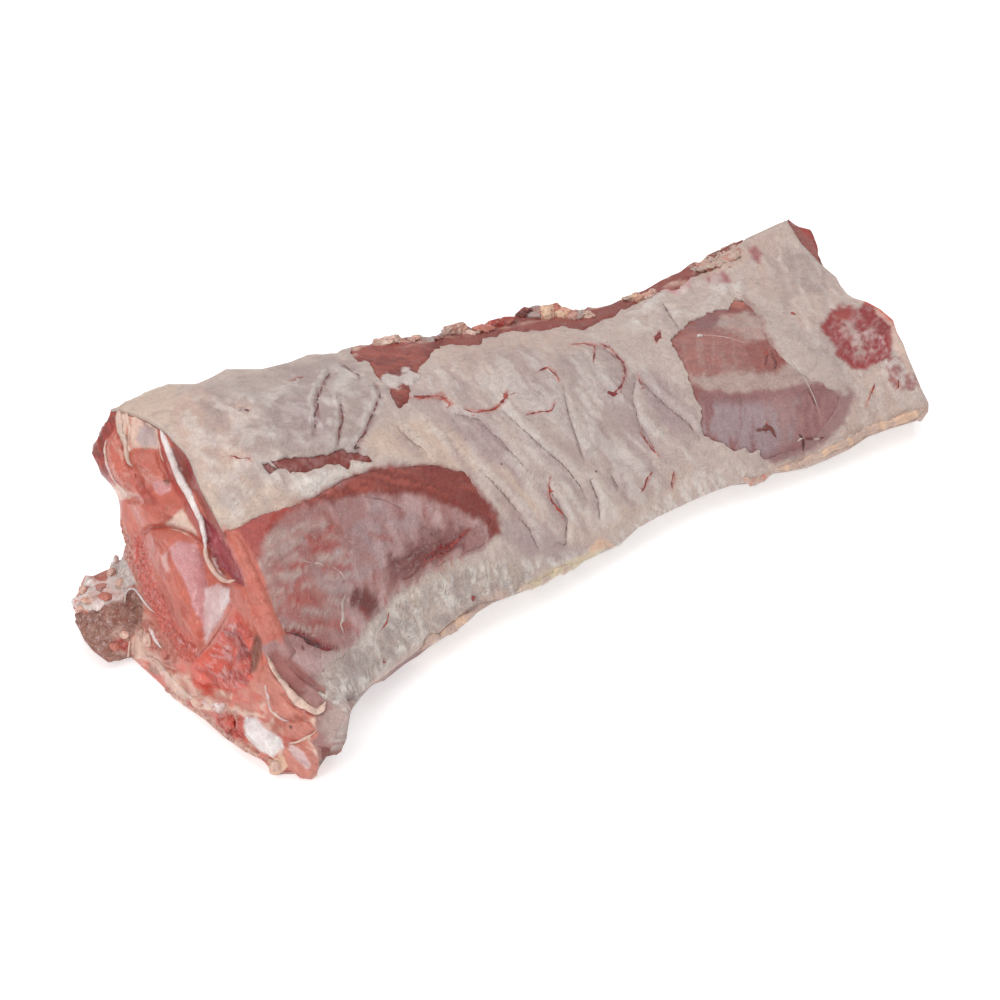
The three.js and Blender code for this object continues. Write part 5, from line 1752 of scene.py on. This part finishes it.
def plain_floor():
    """A white board that glows a little, so that it stays as bright as the photograph's ground."""
    sh = Shader("floor")
    grain = sh.noise(6, 2)
    colour = sh.mix(grain, tuple(srgb(212, 212, 212)), tuple(srgb(216, 216, 216)))
    return sh.finish(colour, 0.9, sh.bump(grain, 0.02, 0.1), Specular_IOR_Level=0.1, Emission_Color=(1, 1, 1),
                     Emission_Strength=0.55)


# ---- Assembly ----

waxy = tissue("fat", 0.62, 0.55, "fat white")
flesh = tissue("flesh", 0.5, 0.6, "silver")
cover = make_fat_cover()
meat = make_lean()
cut = make_cut()
dress(cover, waxy, "fat", "fat_cover")
dress(meat, flesh, "lean", "lean")
dress(cut, flesh, "lean")
dress(make_scraps("edge_scraps", SCRAPS, meat), waxy, "fat")
cut_bone = tissue("cut_bone", 0.6, 0.8, "cream")
bones = []
for node, form in BONES.items():
    slot = "cartilage" if node == "hip_cartilage" else "bone"
    bones.append(make_bone(node, *form))
    dress(bones[-1], cut_bone, slot, node)

skin_ground, cut_ground = joined("skin_ground", [cover, meat]), joined("cut_ground", [cut, *bones])
dress(make_scraps("bone_nubs", BONE_NUBS, cut_ground, 0.6), cut_bone, "bone")
dress(lay_cords("blood_vessels", [*blood_cords(), *SKIN_CORDS, *crack_cords()], skin_ground, 0.8), flesh, "lean")
dress(lay_cords("cut_membranes", CUT_CORDS, cut_ground, 0.8), waxy, "fat")
dress(lay_cords("rolled_hem", HEM_CORDS, skin_ground, 0.35), waxy, "fat")
for ground in (skin_ground, cut_ground):
    bpy.data.objects.remove(ground)

sawn = spongy_bone()
for name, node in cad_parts.items():
    if name.startswith("vertebra_"):
        node.data.materials.clear()
        node.data.materials.append(sawn)


# ---- Floor, light and camera, in metres ----

FLOOR_HALF = 6
LIGHTS = {  # where each stands, where it points, its sides and its power
    "softbox": ((0.1, 0.2, 2.2), (0, 0, 0.03), (2.5, 2.5), 33),
    "key": ((-1.3, -0.5, 1.0), (0, 0, 0.03), (0.8, 0.8), 9),
}
SKY_LIGHT = 0.42
SENSOR_MM = 36
FURTHEST_SEEN = 50


def make_floor():
    bm = bmesh.new()
    bmesh.ops.create_grid(bm, x_segments=1, y_segments=1, size=FLOOR_HALF)
    floor = to_object("floor", bm)
    floor.data.materials.append(plain_floor())


def make_light(name, place_at, aim, size, power):
    """A rectangle of light turned towards what it aims at."""
    light = bpy.data.lights.new(name, "AREA")
    light.shape, light.size, light.size_y, light.energy = "RECTANGLE", size[0], size[1], power
    lamp = bpy.data.objects.new(name, light)
    bpy.context.scene.collection.objects.link(lamp)
    lamp.location = place_at
    lamp.rotation_euler = (Vector(aim) - Vector(place_at)).to_track_quat("-Z", "Y").to_euler()


def make_camera():
    """The photograph's own view."""
    data = bpy.data.cameras.new("camera")
    data.sensor_width = SENSOR_MM
    data.lens = SENSOR_MM * CAMERA["focal_px"] / PHOTO_PX
    data.clip_end = FURTHEST_SEEN
    camera = bpy.data.objects.new("camera", data)
    bpy.context.scene.collection.objects.link(camera)
    turn = Matrix((RIGHT, UP, BACK)).transposed().to_4x4()
    camera.matrix_world = Matrix.Translation(Vector((EYE_POINT + SHIFT) * MM)) @ turn
    bpy.context.scene.camera = camera


make_floor()
for name, form in LIGHTS.items():
    make_light(name, *form)
make_camera()
world = bpy.data.worlds.new("studio")
world.use_nodes = True
world.node_tree.nodes["Background"].inputs["Color"].default_value = (1, 1, 1, 1)
world.node_tree.nodes["Background"].inputs["Strength"].default_value = SKY_LIGHT
bpy.context.scene.world = world
bpy.context.scene.view_settings.view_transform = "Standard"
